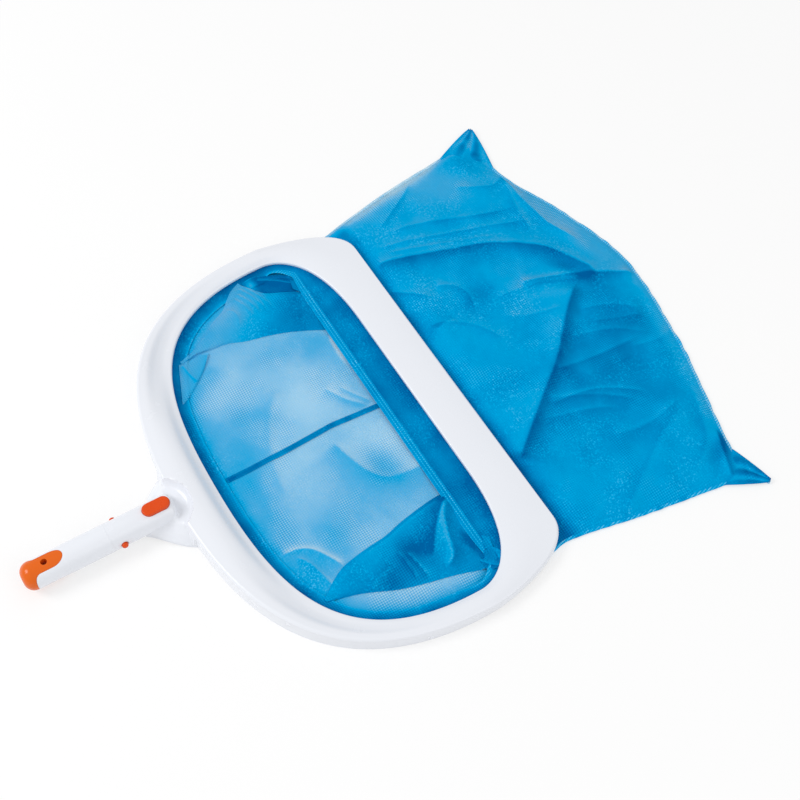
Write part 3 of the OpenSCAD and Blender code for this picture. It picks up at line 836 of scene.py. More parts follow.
def fold(points, high, left, right, dark=0.4, light=0.15, start=0.12, end=0.2):
    """A fold of cloth along a line, with its lit flank on the line's left and its shadow on the right."""
    line = through(points)

    def relief(x, y):
        d, t = along_line(x, y, line)
        fade = smooth(0, start, t) * smooth(1, 1 - end, t)
        reach = np.where(d > 0, left, right)
        rise = high * np.exp(-((np.abs(d) / reach) ** 1.5))
        shadow = dark * smooth(0.8, -0.9, d) * np.exp(np.minimum(d, 0) / (1.3 * right))
        glow = light * smooth(-0.3, 0.3 * left, d) * np.exp(-np.maximum(d, 0) / (0.8 * left))
        return fade * rise, fade * (shadow - 1.3 * glow)

    return relief


def spot(x0, y0, long, wide, turn, shade, rise=0.0):
    """A soft patch of the cloth, darker or lighter, raised or sunk."""
    c, s = np.cos(np.radians(turn)), np.sin(np.radians(turn))

    def relief(x, y):
        u = ((x - x0) * c + (y - y0) * s) / long
        v = ((y - y0) * c - (x - x0) * s) / wide
        soft = np.exp(-(u * u + v * v))
        return rise * soft, shade * soft

    return relief


def relief_of(forms, x, y):
    total = [form(x, y) for form in forms]
    return sum(rise for rise, _ in total), sum(shade for _, shade in total)


def crumple(x, y, scale, seed=0.0):
    places = zip(np.ravel(x) / scale + seed, np.ravel(y) / scale - seed)
    return np.array([noise.noise(Vector((a, b, seed))) for a, b in places]).reshape(np.shape(x))


def set_layers_and_shade(obj, values):
    # The attribute holds how many sheets lie on each other, with painted shade and painted highlights added.
    attribute = obj.data.attributes.new("layers_and_shade", "FLOAT", "POINT")
    attribute.data.foreach_set("value", np.ascontiguousarray(values, dtype=np.float32).ravel())


def cloth(name, x, y, z, layers_and_shade, thickness=CLOTH_T, node=None, smooth_angle=75):
    """A thin closed sheet over a grid of points, whose two faces meet at its rim."""
    rows, columns = np.shape(x)
    top = np.stack([x, y, z], -1).reshape(-1, 3)
    inner = np.zeros((rows, columns), bool)
    inner[1:-1, 1:-1] = True
    inner = inner.ravel()
    below = np.arange(len(top))
    below[inner] = len(top) + np.arange(inner.sum())
    grid = ring_faces(rows, columns, False, False)
    faces = grid + [tuple(int(below[k]) for k in f[::-1]) for f in grid]
    obj = mesh_object(name, np.concatenate([top, top[inner] - [0, 0, thickness]]), faces)
    values = np.broadcast_to(layers_and_shade, np.shape(x)).ravel()
    set_layers_and_shade(obj, np.concatenate([values, values[inner]]))
    return finish(obj, "net", node, smooth_angle=smooth_angle)


def grid_shares(columns, rows):
    """Shares of the way across and along a grid, as a row and a column."""
    return np.linspace(0, 1, columns + 1)[None, :], np.linspace(0, 1, rows + 1)[:, None]


def coons(bottom, top, left, right, columns, rows):
    """Plan points of a patch between four lines."""
    u, v = (share[..., None] for share in grid_shares(columns, rows))
    bottom, top = (resample(through(line), columns + 1)[None] for line in (bottom, top))
    left, right = (resample(through(line), rows + 1)[:, None] for line in (left, right))
    corners = (
        (1 - u) * (1 - v) * left[0, 0]
        + u * (1 - v) * right[0, 0]
        + (1 - u) * v * left[-1, 0]
        + u * v * right[-1, 0]
    )
    patch = (1 - v) * bottom + v * top + (1 - u) * left + u * right - corners
    return patch[..., 0], patch[..., 1]


BAND_TOP_Z = EDGE_Z - 4.0
UPPER_Z = EDGE_Z - LIP_T - 0.7
LOWER_Z = FLOOR_Z + 1.1
SEAM_FRONT = 26.0
SEAM_Y = FRONT_Y - SEAM_FRONT
SEAM_BACK = 10.5
ring_line = np.concatenate([inner_line, inner_line[:1]])


def seam_inset_at(p, inward_y):
    """The seam runs straight across along the lip, and close to the frame round the sides and the back."""
    along_lip = np.clip((p[:, 1] - SEAM_Y) / np.maximum(-inward_y, 0.15), 0, FRONT_Y - SEAM_Y)
    return np.maximum(along_lip, 4.5 + (SEAM_BACK - 4.5) * smooth(310, 265, p[:, 1]))


def band_end_z(v):
    return mix(UPPER_Z + 1.3, LOWER_Z + 1.0, smooth(0.37, 0.47, v))


def band_width(v):
    return mix(SEAM_FRONT, SEAM_BACK, smooth(0.15, 0.4, v))


def band_fall(low, t):
    """Height of the mouth band at a share of the way from the channel down to its lower edge."""
    return BAND_TOP_Z + (low - BAND_TOP_Z) * (1 - (1 - t) ** 1.7)


def band_z(inside, v):
    """Height of the mouth band at a distance inside the frame."""
    return band_fall(band_end_z(v), np.clip(inside / band_width(v), 0, 1))


def inside_ring(x, y):
    """Distance inside the frame's inner edge, and how far that place is round towards the back."""
    d, t = along_line(x, y, ring_line)
    back_share = np.interp(t * len(inner_line), np.arange(len(shares) + 1), np.r_[shares, shares[:1]])
    return np.abs(d), back_share


# A fold has its line, its height, its reach to the left and to the right, how dark its shadow and how light
# its flank is, and the shares of its length in which it starts and ends. A spot has its middle, its reach
# along and across, its turn in degrees, its shade and its height.

# Folds and soft patches of the bag outside the mouth.
UPPER_FORMS = [
    fold(
        [(118, 393), (82, 437), (47, 481), (22, 506), (-4, 531), (-31, 562)],
        8.5, 22, 8, 0.85, 0.3, 0.02, 0.1,
    ),
    fold(
        [(-155, 394), (-133, 464), (-114, 515), (-84, 556), (-57, 573), (-25, 584)],
        5.5, 14, 6, 0.85, 0.35, 0.02, 0.06,
    ),
    fold([(-185, 418), (-180, 462), (-158, 523), (-148, 567)], 2.0, 9, 4, 0.4, 0.2),
    fold([(-196, 421), (-223, 463), (-241, 485)], 1.6, 7, 4, 0.5, 0.1),
    fold([(-120, 389), (-105, 404), (-86, 420)], 2.2, 7, 5, 0.45, 0.25, 0.05, 0.2),
    fold([(-99, 430), (-90, 448), (-74, 455), (-53, 451)], 2.4, 8, 8, 0.4, 0.25, 0.1, 0.2),
    spot(-62, 466, 20, 9, -30, 0.22, -0.3),
    fold([(-173, 408), (-159, 461), (-142, 514), (-125, 567)], 1.8, 6, 4, 0.35, 0.25, 0.05, 0.15),
    fold([(-162, 410), (-143, 464), (-124, 521)], 1.6, 5, 4, 0.25, 0.25, 0.05, 0.2),
    fold([(-55, 477), (-46, 527), (-30, 570)], 1.8, 9, 6, 0.2, 0.3, 0.1, 0.1),
    fold([(-55, 428), (-52, 400)], 1.5, 9, 6, 0.3, 0.2, 0.2, 0.2),
    fold([(-32, 468), (-14, 505), (-6, 530)], 1.3, 8, 8, 0.2, 0.2, 0.15, 0.2),
    fold([(2, 544), (13, 574), (36, 601)], 1.3, 8, 7, 0.18, 0.2, 0.1, 0.2),
    fold([(26, 515), (39, 555), (62, 589)], 1.4, 8, 7, 0.2, 0.2, 0.1, 0.2),
    fold([(82, 452), (93, 504), (121, 545)], 1.4, 7, 8, 0.22, 0.35, 0.05, 0.2),
    fold([(143, 481), (149, 524), (141, 567)], 1.2, 9, 8, 0.15, 0.2, 0.1, 0.2),
    fold([(67, 560), (72, 594), (62, 618)], 1.0, 9, 8, 0.15, 0.2, 0.1, 0.2),
    fold([(-195, 577), (-160, 566), (-125, 560), (-105, 560)], 1.5, 8, 5, 0.25, 0.3, 0.1, 0.2),
    fold([(-56, 507), (-42, 555), (-29, 583), (-10, 625)], 4.0, 12, 5, 0.7, 0.45, 0.05, 0.1),
    fold([(54, 476), (59, 534), (61, 578)], 1.6, 9, 8, 0.25, 0.25),
    fold([(75, 451), (101, 503), (124, 530)], 1.6, 8, 6, 0.22, 0.28),
    fold([(93, 434), (110, 489), (121, 509)], 1.4, 8, 7, 0.15, 0.25),
    fold([(20, 545), (32, 575), (40, 600)], 1.4, 9, 7, 0.2, 0.12),
    fold([(-199, 577), (-160, 575), (-137, 577), (-108, 582), (-70, 596)], 2.6, 9, 5, 0.6, 0.35, 0.04, 0.2),
    fold([(-205, 520), (-188, 556), (-196, 578)], 2.0, 8, 5, 0.35, 0.15),
    fold([(235, 556), (208, 566), (183, 577)], 2.5, 6, 5, 0.8, 0.1, 0.04, 0.2),
    fold([(-62, 396), (-40, 436), (-2, 458)], 1.8, 9, 6, 0.3, 0.2),
    fold([(150, 560), (168, 520), (200, 470), (228, 430)], 1.8, 14, 9, 0.15, 0.1),
    fold([(130, 585), (190, 560), (216, 520)], 1.6, 10, 8, 0.15, 0.12),
    spot(80, 500, 70, 38, 35, 0.38, 1.5),
    spot(50, 552, 50, 28, -20, 0.3, 0.5),
    spot(146, 530, 30, 24, 0, -0.08, 0.5),
    spot(30, 580, 40, 22, 10, 0.4),
    spot(-46, 566, 26, 9, 25, 0.7, -1.5),
    spot(-70, 458, 22, 12, -35, 0.35, -0.6),
    spot(-95, 428, 26, 14, 40, -0.25, 1.5),
    spot(-35, 520, 20, 12, 70, -0.3, 1.5),
    spot(-60, 505, 22, 14, 0, -0.2, 1.0),
    spot(70, 505, 14, 8, 20, -0.25, 1.0),
    spot(-20, 430, 40, 20, 50, -0.1, 1.5),
    spot(-232, 545, 26, 16, 40, 0.45, 1.0),
    spot(-218, 512, 30, 42, -15, -0.38, 1.0),
    spot(-110, 590, 60, 14, 15, -0.5, 0.5),
    spot(-236, 430, 14, 50, 12, -0.75),
    spot(-246, 485, 12, 40, 12, -0.7),
    spot(-60, 600, 45, 9, 18, -0.3, 0.8),
    spot(160, 560, 60, 10, -25, -0.12, 0.8),
    spot(203, 570, 20, 9, -60, 0.8, -1.0),
    spot(190, 440, 40, 50, 0, -0.08, 1.5),
]

# Folds and soft patches of the lower panel, seen through the mouth.
LOWER_FORMS = [
    fold([(6, 249), (29, 254), (51, 262), (68, 275), (73, 298), (74, 316)], 3.4, 16, 14, 0.4, 0.12, 0.1, 0.1),
    fold([(-78, 233), (-47, 208), (4, 187), (47, 183)], 1.5, 14, 12, 0.08, 0.08),
    fold([(90, 150), (91, 164), (98, 177), (113, 187), (129, 195)], 2.6, 5, 5, 0.3, 0.55, 0.1, 0.15),
    fold([(97, 160), (108, 168), (125, 173), (144, 178)], 1.8, 4, 4, 0.3, 0.35, 0.1, 0.15),
    fold([(-52, 272), (-30, 284), (-12, 300)], 1.4, 6, 4, 0.3, 0.2),
    fold([(-46, 286), (-28, 296), (-14, 306)], 1.2, 5, 4, 0.25, 0.15),
    fold([(-109, 314), (-104, 306), (-84, 304), (-62, 304)], 1.2, 7, 5, 0.1, 0.4, 0.2, 0.3),
    spot(-46, 250, 40, 36, 10, -0.16, 1.4),
    spot(-104, 190, 20, 34, 35, -0.1, 1.2),
    spot(-76, 172, 24, 18, 0, -0.12, 1.0),
    spot(-58, 196, 15, 34, -30, 0.22, -0.8),
    spot(-28, 172, 26, 16, 0, 0.28, -0.8),
    spot(20, 160, 50, 10, 5, 0.22, -0.8),
    spot(56, 280, 22, 14, 20, 0.36, -0.8),
    spot(30, 292, 30, 16, 10, -0.15, 1.0),
    spot(28, 215, 42, 22, -10, -0.1, 1.0),
    spot(85, 225, 28, 40, 0, 0.08, 0.8),
    spot(96, 286, 20, 22, 0, -0.05, 0.6),
    spot(100, 200, 22, 18, 0, 0.22, 0.5),
    spot(-118, 258, 16, 34, 10, 0.16, -0.5),
    spot(-104, 290, 20, 16, 0, 0.18, -0.5),
    spot(-60, 300, 40, 8, 0, 0.1),
    spot(118, 170, 20, 12, 0, 0.35),
    spot(-122, 180, 14, 18, 0, 0.16),
]


def bag_grid(near, inset, columns, rows):
    """Plan points of a panel, from a near line to the bag's far edge."""
    left = moved(left_line, inset)[:-CORNER_CUT]
    right = moved(right_line, -inset)[:-CORNER_CUT]
    far = np.concatenate([[left[-1]], moved(far_line, inset)[CORNER_CUT:-CORNER_CUT], [right[-1]]])
    near = np.asarray(near, float)
    u, v = grid_shares(columns, rows)
    x0 = np.interp(mix(near[0, 1], left[-1, 1], v), left[:, 1], left[:, 0])
    x1 = np.interp(mix(near[-1, 1], right[-1, 1], v), right[:, 1], right[:, 0])
    if near[0, 1] < left[0, 1]:
        x0 = mix(near[0, 0], x0, np.minimum(1, v * 12))
        x1 = mix(near[-1, 0], x1, np.minimum(1, v * 12))
    far_y = np.interp(mix(left[-1, 0], right[-1, 0], u), far[:, 0], far[:, 1])
    near_y = np.interp(mix(near[0, 0], near[-1, 0], u), near[:, 0], near[:, 1])
    return mix(x0, x1, u), mix(near_y, far_y, v)


def edge_distances(x, y):
    left = x - np.interp(y, left_line[:, 1], left_line[:, 0])
    right = np.interp(y, right_line[:, 1], right_line[:, 0]) - x
    far = np.interp(x, far_line[:, 0], far_line[:, 1]) - y
    return left, right, far


def mouth_edge(inset, keep):
    """The mouth's edge moved inwards, where keep(y) is true, from left to right."""
    line = [a - inset * unit(b - a) for a, b in zip(inner_line, outer_line) if keep(a[1])]
    return sorted([p[0], p[1]] for p in line)


def make_upper():
    """The upper panel, from the seam under the lip to the far edge."""
    front = mouth_edge(SEAM_FRONT - 1, lambda y: y > SIDE_START_Y + 8)
    near = [[-MOUTH_W / 2 + 3, SIDE_START_Y]] + front + [[MOUTH_W / 2 - 3, SIDE_START_Y]]
    x, y = bag_grid(near, SEAM_W * 0.6, columns=320, rows=190)
    left, right, far = edge_distances(x, y)
    rise, shade = relief_of(UPPER_FORMS, x, y)
    past_lip = y - LIP_Y
    sides = np.minimum(left, right)
    room = smooth(1, 30, past_lip) * smooth(1, 42, sides) * smooth(1, 38, far)
    free = smooth(-1, 9, past_lip) * smooth(0, 12, sides) * smooth(0, 12, far)
    small = 1.5 * crumple(x, y, 33) + 0.25 * crumple(x, y, 5.5, 1.7)
    small += 0.8 * crumple(0.7 * (x + y), 0.5 * (y - x), 13, 3.1)
    edge_fall = 1.6 * (1 - smooth(0, 9, np.minimum(sides, far)))
    z = UPPER_Z + room * 4.5 + free * (rise + small) - edge_fall
    lip_shadow = 0.75 * (1 - smooth(0, 16, past_lip))
    lip_shadow += 0.25 * (1 - smooth(0, 30, past_lip)) * smooth(60, 130, x)
    layers_and_shade = 1.76 + 1.2 * shade + lip_shadow
    layers_and_shade += 0.1 * smooth(20, 120, x) - 0.06 * smooth(120, 200, x) - 0.22 * smooth(-120, -215, x)
    layers_and_shade -= 0.7 * (1 - smooth(3, 14, left))
    layers_and_shade -= 0.38 * (1 - smooth(5, 24, far)) * smooth(-225, -190, x)
    return cloth("net_upper", x, y, z, layers_and_shade, node="net_upper_panel")


def lower_surface(x, y):
    """Height and tone of the lower panel, which has its folds inside the mouth and a painted shadow just
    inside the frame's back.
    """
    away, v = inside_ring(x, y)
    in_mouth = 1 - smooth(FRONT_Y - 20, FRONT_Y + 15, y)
    rise, shade = relief_of(LOWER_FORMS, x, y)
    small = 0.35 * crumple(x, y, 25, 5.0) + 0.15 * crumple(x, y, 9, 2.0)
    z = LOWER_Z + np.maximum(in_mouth * rise * 0.8 + small, -0.35) * smooth(3, 20, away)
    back_zone = smooth(0.32, 0.5, v) * in_mouth
    # Painted shadow of the frame's back rim, darkest just inside the edge and fading across the panel.
    rim_shadow = 1.1 * np.exp(-np.maximum(away - 9, 0) / 7) + 0.25 * np.exp(-away / 30)
    layers_and_shade = 0.8 - 0.18 * smooth(140, 165, x) + 1.3 * in_mouth * shade + back_zone * rim_shadow
    layers_and_shade += (0.56 - 0.6 * smooth(-190, -230, x)) * (1 - in_mouth)
    return z, layers_and_shade


def make_lower():
    """The lower panel, on the floor, from the back of the mouth to the far edge."""
    back = mouth_edge(SEAM_BACK - 1, lambda y: y < SIDE_START_Y - 30)
    x, y = bag_grid(back, SEAM_W * 0.6, columns=260, rows=280)
    z, layers_and_shade = lower_surface(x, y)
    edge = np.minimum.reduce(edge_distances(x, y))
    z = np.where(edge < 12, mix(LOWER_Z + 0.2, z, smooth(0, 12, edge)), z)
    return cloth("net_lower", x, y, z, layers_and_shade, node="net_lower_panel")


INWARD = rightwards(inner_line, closed=True)
INWARD *= np.sign((INWARD * (inner_line - outer_line)).sum(1))[:, None]


def ring_points(inset):
    """The frame's inner edge moved inwards, by one distance for each station."""
    return inner_line + INWARD * np.asarray(inset, float)[:, None]


def ring_strip(name, insets, heights, layers_and_shade, thickness, material, node):
    """A closed strip round the mouth, from rows of insets, heights and tones (sheets lying on each other, and
    painted shade).
    """
    count = len(inner_line)
    lines = [np.column_stack([ring_points(i), np.broadcast_to(h, count)]) for i, h in zip(insets, heights)]
    lines += [line - [0, 0, thickness] for line in lines[-2:0:-1]]
    grid = np.stack(lines, 1)
    obj = mesh_object(name, grid.reshape(-1, 3), ring_faces(*grid.shape[:2]))
    rows = [np.broadcast_to(value, count) for value in layers_and_shade]
    set_layers_and_shade(obj, np.stack(rows + rows[-2:0:-1], 1))
    return finish(obj, material, node, smooth_angle=60)


# How bright the mouth seam is along the lip, row by row.
SEAM_ROWS = [0.0, 0.2, 1.0, 0.3, 0.1, 0.9, 0.2, 0.3, 0.8]


def make_band():
    """The strip of mesh, folded double, that hangs from the frame's channel, and the seam at its lower edge.
    """
    width = seam_inset_at(inner_line, INWARD[:, 1])
    front = 1 - smooth(0.2, 0.42, shares)
    ripple = np.array([noise.noise(Vector((p[0] / 17, p[1] / 17, 4.0))) for p in inner_line])
    low = band_end_z(shares)
    steps = np.linspace(0, 1, 13)
    insets = [np.full_like(width, -2.0)] + [t * width for t in steps]
    heights = [BAND_TOP_Z] + [band_fall(low, t) + 0.5 * ripple * np.sin(np.pi * t) for t in steps]
    # Round the sides and back the band is darkest at the frame and lighter further down: two sheets of cloth,
    # and painted shadow of the frame's rim.
    layers_and_shade = [2.3] + [mix(2.95 - 1.0 * t, 2.6 + 0.2 * np.cos(5 * t), front) + 0.25 * ripple for t in steps]
    band = ring_strip("mouth_band_cloth", insets, heights, layers_and_shade, CLOTH_T, "net", "mouth_band")
    steps = np.linspace(0, 1, len(SEAM_ROWS))
    seam_width = mix(2.4, 8.8, front)
    insets = [width - 0.6 + seam_width * t for t in steps]
    heights = [
        low + 0.05 + (0.1 + 0.1 * front) * np.sin(np.pi * t) - 0.9 * front * smooth(0.75, 1, t) for t in steps
    ]
    layers_and_shade = [mix(1.9 - 0.5 * t, 2.2 - 0.6 * b, front) for t, b in zip(steps, SEAM_ROWS)]
    ring_strip("mouth_seam_cloth", insets, heights, layers_and_shade, 0.5, "seam", "mouth_seam")


def tube_along(name, line, radii, layers_and_shade, node, closed=False, flat=1.0):
    """A soft roll along a line, flattened by the given share."""
    sides = 10
    ahead = directions(line, closed)
    across = np.cross(ahead, [0, 0, 1])
    across /= np.linalg.norm(across, axis=1)[:, None]
    rise = np.cross(across, ahead)
    radii = np.broadcast_to(radii, len(line))[:, None]
    angles = np.linspace(0, TURN, sides, endpoint=False)
    grid = np.stack([line + radii * (np.cos(a) * across + flat * np.sin(a) * rise) for a in angles], 1)
    faces = ring_faces(len(line), sides) if closed else capped_faces(len(line), sides)
    obj = mesh_object(name, grid.reshape(-1, 3), faces)
    set_layers_and_shade(obj, np.repeat(np.broadcast_to(layers_and_shade, len(line)), sides))
    return finish(obj, "seam", node, smooth_angle=180)


def make_bindings():
    """The rolled seams round the flattened bag."""
    rolls = []
    plans = {
        "side_seam_left": (moved(left_line, SEAM_W / 2), 0.55, 0.35),
        "side_seam_right": (moved(right_line, -SEAM_W / 2), 1.75, 0.4),
        "end_seam": (moved(far_line, SEAM_W / 2), 1.2, 0.5),
    }
    for k, (node, (plan, tone, spread)) in enumerate(plans.items()):
        plan = resample(plan, 160)
        if node != "end_seam":
            plan = plan[:-9]
        wave = np.array([noise.noise(Vector((p[0] / 9, p[1] / 9, k + 0.5))) for p in plan])
        middle = (UPPER_Z + LOWER_Z) / 2 - 0.55 + 0.3 * wave
        line = np.column_stack([plan + 0.4 * wave[:, None], middle])
        layers_and_shade = tone + spread * wave
        rolls.append(tube_along(f"{node}_roll", line, 1.9 + 0.3 * wave, layers_and_shade, node, flat=0.72))
    return rolls


def make_centre_seam():
    """The seam down the middle of the lower panel, which wanders a little."""
    y = np.linspace(BACK_Y + SEAM_BACK + 3, LIP_Y + BAG_LEN - 8, 200)[:, None]
    middle = np.interp(y, [150, 200, 257, 309, 400, 640], [-7, -7, -10, -7, -3, 0])
    across = np.linspace(-1, 1, 7)[None, :]
    x = middle + across * 3.0
    y = np.repeat(y, 7, 1)
    z = lower_surface(x, y)[0] + 0.35 + 0.55 * (1 - across**2) + 0.1 * crumple(x, y, 8, 9.0)
    layers_and_shade = 2.55 - 0.3 * np.abs(across) + 0.35 * crumple(x, y, 10, 4.0)
    return cloth("centre_seam_cloth", x, y, z, layers_and_shade, 0.35, "centre_seam")


def make_hem_cord():
    """The cord in the hem, inside the frame's channel."""
    plan = ring_points(np.full(len(inner_line), -4.0))
    line = np.column_stack([plan, np.full(len(plan), EDGE_Z - 3.6)])
    tube_along("hem_cord_round", line, 1.45, 2.0, "hem_cord", closed=True)


def flap(name, bottom, top, left, right, forms, tone, lift, columns=70, rows=90):
    """A folded layer of the bag's side, lying on the lower panel inside the mouth."""
    x, y = coons(bottom, top, left, right, columns, rows)
    away, v = inside_ring(x, y)
    rise, shade = relief_of(forms, x, y)
    u, w = grid_shares(columns, rows)
    swell = smooth(0, 0.25, u) * smooth(1, 0.8, u) * smooth(0, 0.2, w) * smooth(1, 0.9, w)
    off_edge = smooth(0, 0.07, u) * smooth(1, 0.93, u)
    relief = 1.0 + rise + 0.3 * crumple(x, y, 12, 6.0)
    lying = lower_surface(x, y)[0] + 0.1 + swell * lift + off_edge * relief
    over_band = band_z(np.maximum(away, 1.5), v) + 0.4 + 0.7 * off_edge
    near_band = away < band_width(v) + 4
    z = np.where(near_band, soft_max(lying, over_band, 1.5), lying)
    under_lip = smooth(SEAM_Y - 9, SEAM_Y - 2, y) * (1 - smooth(0.3, 0.36, v))
    z = mix(z, np.minimum(lying, UPPER_Z - 0.7), under_lip)
    return cloth(name, x, y, z, np.maximum(tone(x, y, u, w) + shade, 0.72), 0.3, smooth_angle=60)


def make_flaps():
    left = flap(
        "side_fold_left",
        bottom=[(-152, 163), (-150, 163), (-149, 164)],
        top=[
            (-210, 257), (-198, 267), (-187, 276), (-180, 290),
            (-169, 311), (-160, 323), (-136, 325), (-102, 324),
        ],
        left=[(-152, 163), (-159, 179), (-171, 197), (-183, 216), (-190, 229), (-204, 244), (-210, 257)],
        right=[
            (-149, 164), (-153, 181), (-151, 197), (-149, 215), (-143, 231),
            (-137, 255), (-131, 274), (-123, 292), (-114, 308), (-102, 324),
        ],
        forms=[
            fold([(-208, 259), (-190, 268), (-169, 274), (-155, 277)], 0.9, 2, 2, 0.35, 0.5, 0.05, 0.3),
            fold([(-205, 255), (-190, 262), (-172, 267), (-158, 268)], 0.9, 2, 2, 0.35, 0.5, 0.05, 0.3),
            fold([(-200, 250), (-190, 255), (-178, 259), (-160, 261)], 0.8, 2, 2, 0.3, 0.45, 0.05, 0.3),
            fold([(-196, 245), (-187, 249), (-176, 252), (-163, 252)], 0.7, 2, 2, 0.25, 0.4, 0.05, 0.3),
            fold([(-187, 230), (-181, 237), (-170, 238), (-160, 233)], 0.8, 3, 3, 0.15, 0.2),
            fold(
                [(-151, 168), (-152, 181), (-149, 197), (-147, 215), (-141, 231), (-135, 255), (-127, 280)],
                0.8, 3, 2, 0.5, 0.1, 0.02, 0.05,
            ),
            spot(-188, 222, 14, 22, -35, -0.2, 0.8),
            spot(-150, 296, 26, 14, 0, 0.2, 0.6),
        ],
        tone=lambda x, y, u, w: 1.0 + 1.3 * smooth(-0.35, 0.65, (x + 190) / 90 + (y - 255) / 95 * 0.9 - 0.2),
        lift=1.6,
    )
    right = flap(
        "side_fold_right",
        bottom=[(148, 163), (149, 163), (151, 164)],
        top=[(109, 324), (128, 325), (150, 325), (176, 322), (200, 315)],
        left=[(148, 163), (142, 170), (129, 190), (123, 215), (120, 242), (114, 266), (109, 300), (109, 324)],
        right=[(151, 164), (159, 194), (173, 226), (181, 253), (188, 281), (200, 315)],
        forms=[
            fold([(114, 312), (128, 296), (142, 283), (163, 268)], 3.6, 9, 8, 1.3, 0.2, 0.02, 0.15),
            fold([(178, 274), (170, 286), (148, 293), (130, 300), (118, 310)], 3.0, 5, 6, 0.5, 0.9, 0.1, 0.1),
            fold([(145, 250), (161, 253), (179, 255)], 1.6, 3, 5, 0.5, 1.0),
            fold([(140, 243), (158, 245), (176, 245)], 1.4, 3, 4, 0.5, 0.5),
            fold([(112, 303), (117, 268), (124, 240), (127, 214)], 1.2, 4, 4, 0.1, 0.35, 0.05, 0.1),
            fold([(150, 232), (154, 214), (160, 202)], 1.4, 4, 4, 0.25, 0.3),
            spot(148, 256, 16, 13, 20, 1.0, -1.2),
            spot(163, 224, 12, 12, 0, 0.55, -0.5),
            spot(168, 307, 18, 5, 10, 1.1, -0.5),
            spot(133, 204, 10, 18, 10, -0.15, 0.6),
        ],
        tone=lambda x, y, u, w: 1.95 + 0.15 * smooth(0.3, 0.9, u) - 0.2 * (1 - smooth(0, 0.25, w)),
        lift=2.2,
    )
    corner = flap(
        "corner_fold",
        bottom=[(-149, 160), (-128, 152), (-104, 143)],
        top=[(-151, 186), (-150, 191), (-147, 193)],
        left=[(-149, 160), (-151, 174), (-151, 186)],
        right=[(-102, 145), (-111, 158), (-122, 171), (-136, 184), (-147, 193)],
        forms=[
            fold([(-147, 163), (-134, 165), (-122, 168)], 0.9, 3, 2, 0.9, 0.0, 0.05, 0.05),
            fold(
                [(-147, 191), (-136, 183), (-122, 170), (-111, 157), (-103, 147)],
                0.9, 3, 3, 0.5, 1.0, 0.03, 0.05,
            ),
        ],
        tone=lambda x, y, u, w: 0.95,
        lift=0.3, columns=40, rows=40,
    )
    pocket = flap(
        "corner_pocket",
        bottom=[(-208, 259), (-197, 268), (-187, 276)],
        top=[(-194, 308), (-183, 309), (-170, 313)],
        left=[(-208, 259), (-210, 274), (-204, 294), (-194, 308)],
        right=[(-187, 276), (-180, 290), (-170, 313)],
        forms=[
            fold([(-205, 276), (-196, 292), (-185, 305), (-176, 314)], 1.2, 3, 3, 0.5, 0.9, 0.05, 0.1),
            fold([(-208, 262), (-209, 276), (-203, 294), (-194, 307)], 0.8, 3, 3, 0.3, 0.7, 0.02, 0.02),
            spot(-203, 268, 7, 5, 0, -1.6),
        ],
        tone=lambda x, y, u, w: 2.75,
        lift=-0.6, columns=40, rows=50,
    )
    gathers = flap(
        "corner_gathers",
        bottom=[(174, 302), (184, 303), (198, 304)],
        top=[(180, 319), (190, 324), (201, 321)],
        left=[(174, 302), (176, 312), (180, 319)],
        right=[(198, 304), (202, 312), (201, 321)],
        forms=[
            fold([(175, 302), (188, 304), (201, 314)], 1.2, 3, 3, 0.6, 0.4, 0.02, 0.02),
            fold([(178, 312), (186, 319), (200, 317)], 1.2, 3, 3, 0.6, 0.4, 0.02, 0.02),
        ],
        tone=lambda x, y, u, w: 2.2,
        lift=0.8, columns=36, rows=30,
    )
    return left, right, corner, pocket, gathers


def make_ear(name, tip, base_a, base_b, tone, seed):
    """A gathered corner of the bag: a flat cone of crumpled cloth that ends in the corner's knot."""
    u, v = grid_shares(44, 40)
    pinch = (1 - v) ** 0.85 * 0.93 + 0.07
    a, b, tip = (np.array(p, float) for p in (base_a, base_b, tip))
    middle = (a + b) / 2
    centre_x = mix(middle[0], tip[0], v)
    centre_y = mix(middle[1], tip[1], v)
    half = (b - a) / 2
    s = (2 * u - 1) * pinch
    x = centre_x + half[0] * s
    y = centre_y + half[1] * s
    ribs = np.sin(TURN * (2.6 * u + 0.4 * np.sin(3 * v + seed)) + seed)
    crown = np.sqrt(np.maximum(1 - (2 * u - 1) ** 2, 0))
    swell = smooth(0, 0.3, v) * crown
    z = UPPER_Z - 1.6 + 0.9 * smooth(0, 0.2, v) + swell * (1.7 + 1.0 * ribs + 0.5 * crumple(x, y, 7, seed))
    # The tone follows the ribs: stripes of painted shade along the gathers, darker where a rib stands higher.
    layers_and_shade = tone + 0.55 * ribs * swell + 0.5 * crumple(x, y, 9, seed + 2)
    return cloth(name, x, y, z, layers_and_shade, 1.6, smooth_angle=180)


def make_net():
    lower = make_lower()
    upper = make_upper()
    make_band()
    bindings = make_bindings()
    centre_seam = make_centre_seam()
    make_hem_cord()
    flaps = make_flaps()
    ears = [
        make_ear("ear_left", bag_point((-1.285, 0.828)), (-250, 523), (-201, 574), tone=1.8, seed=0.7),
        make_ear("ear_right", bag_point((1.197, 0.828)), (236, 541), (205, 575), tone=2.2, seed=2.9),
    ]
    bindings + ears


# ---------------- stage

FLOOR_HALF = 6000.0
FLOOR_GLOW = 0.6
WORLD_LIGHT = 0.66
WORLD_SEEN = 1.0


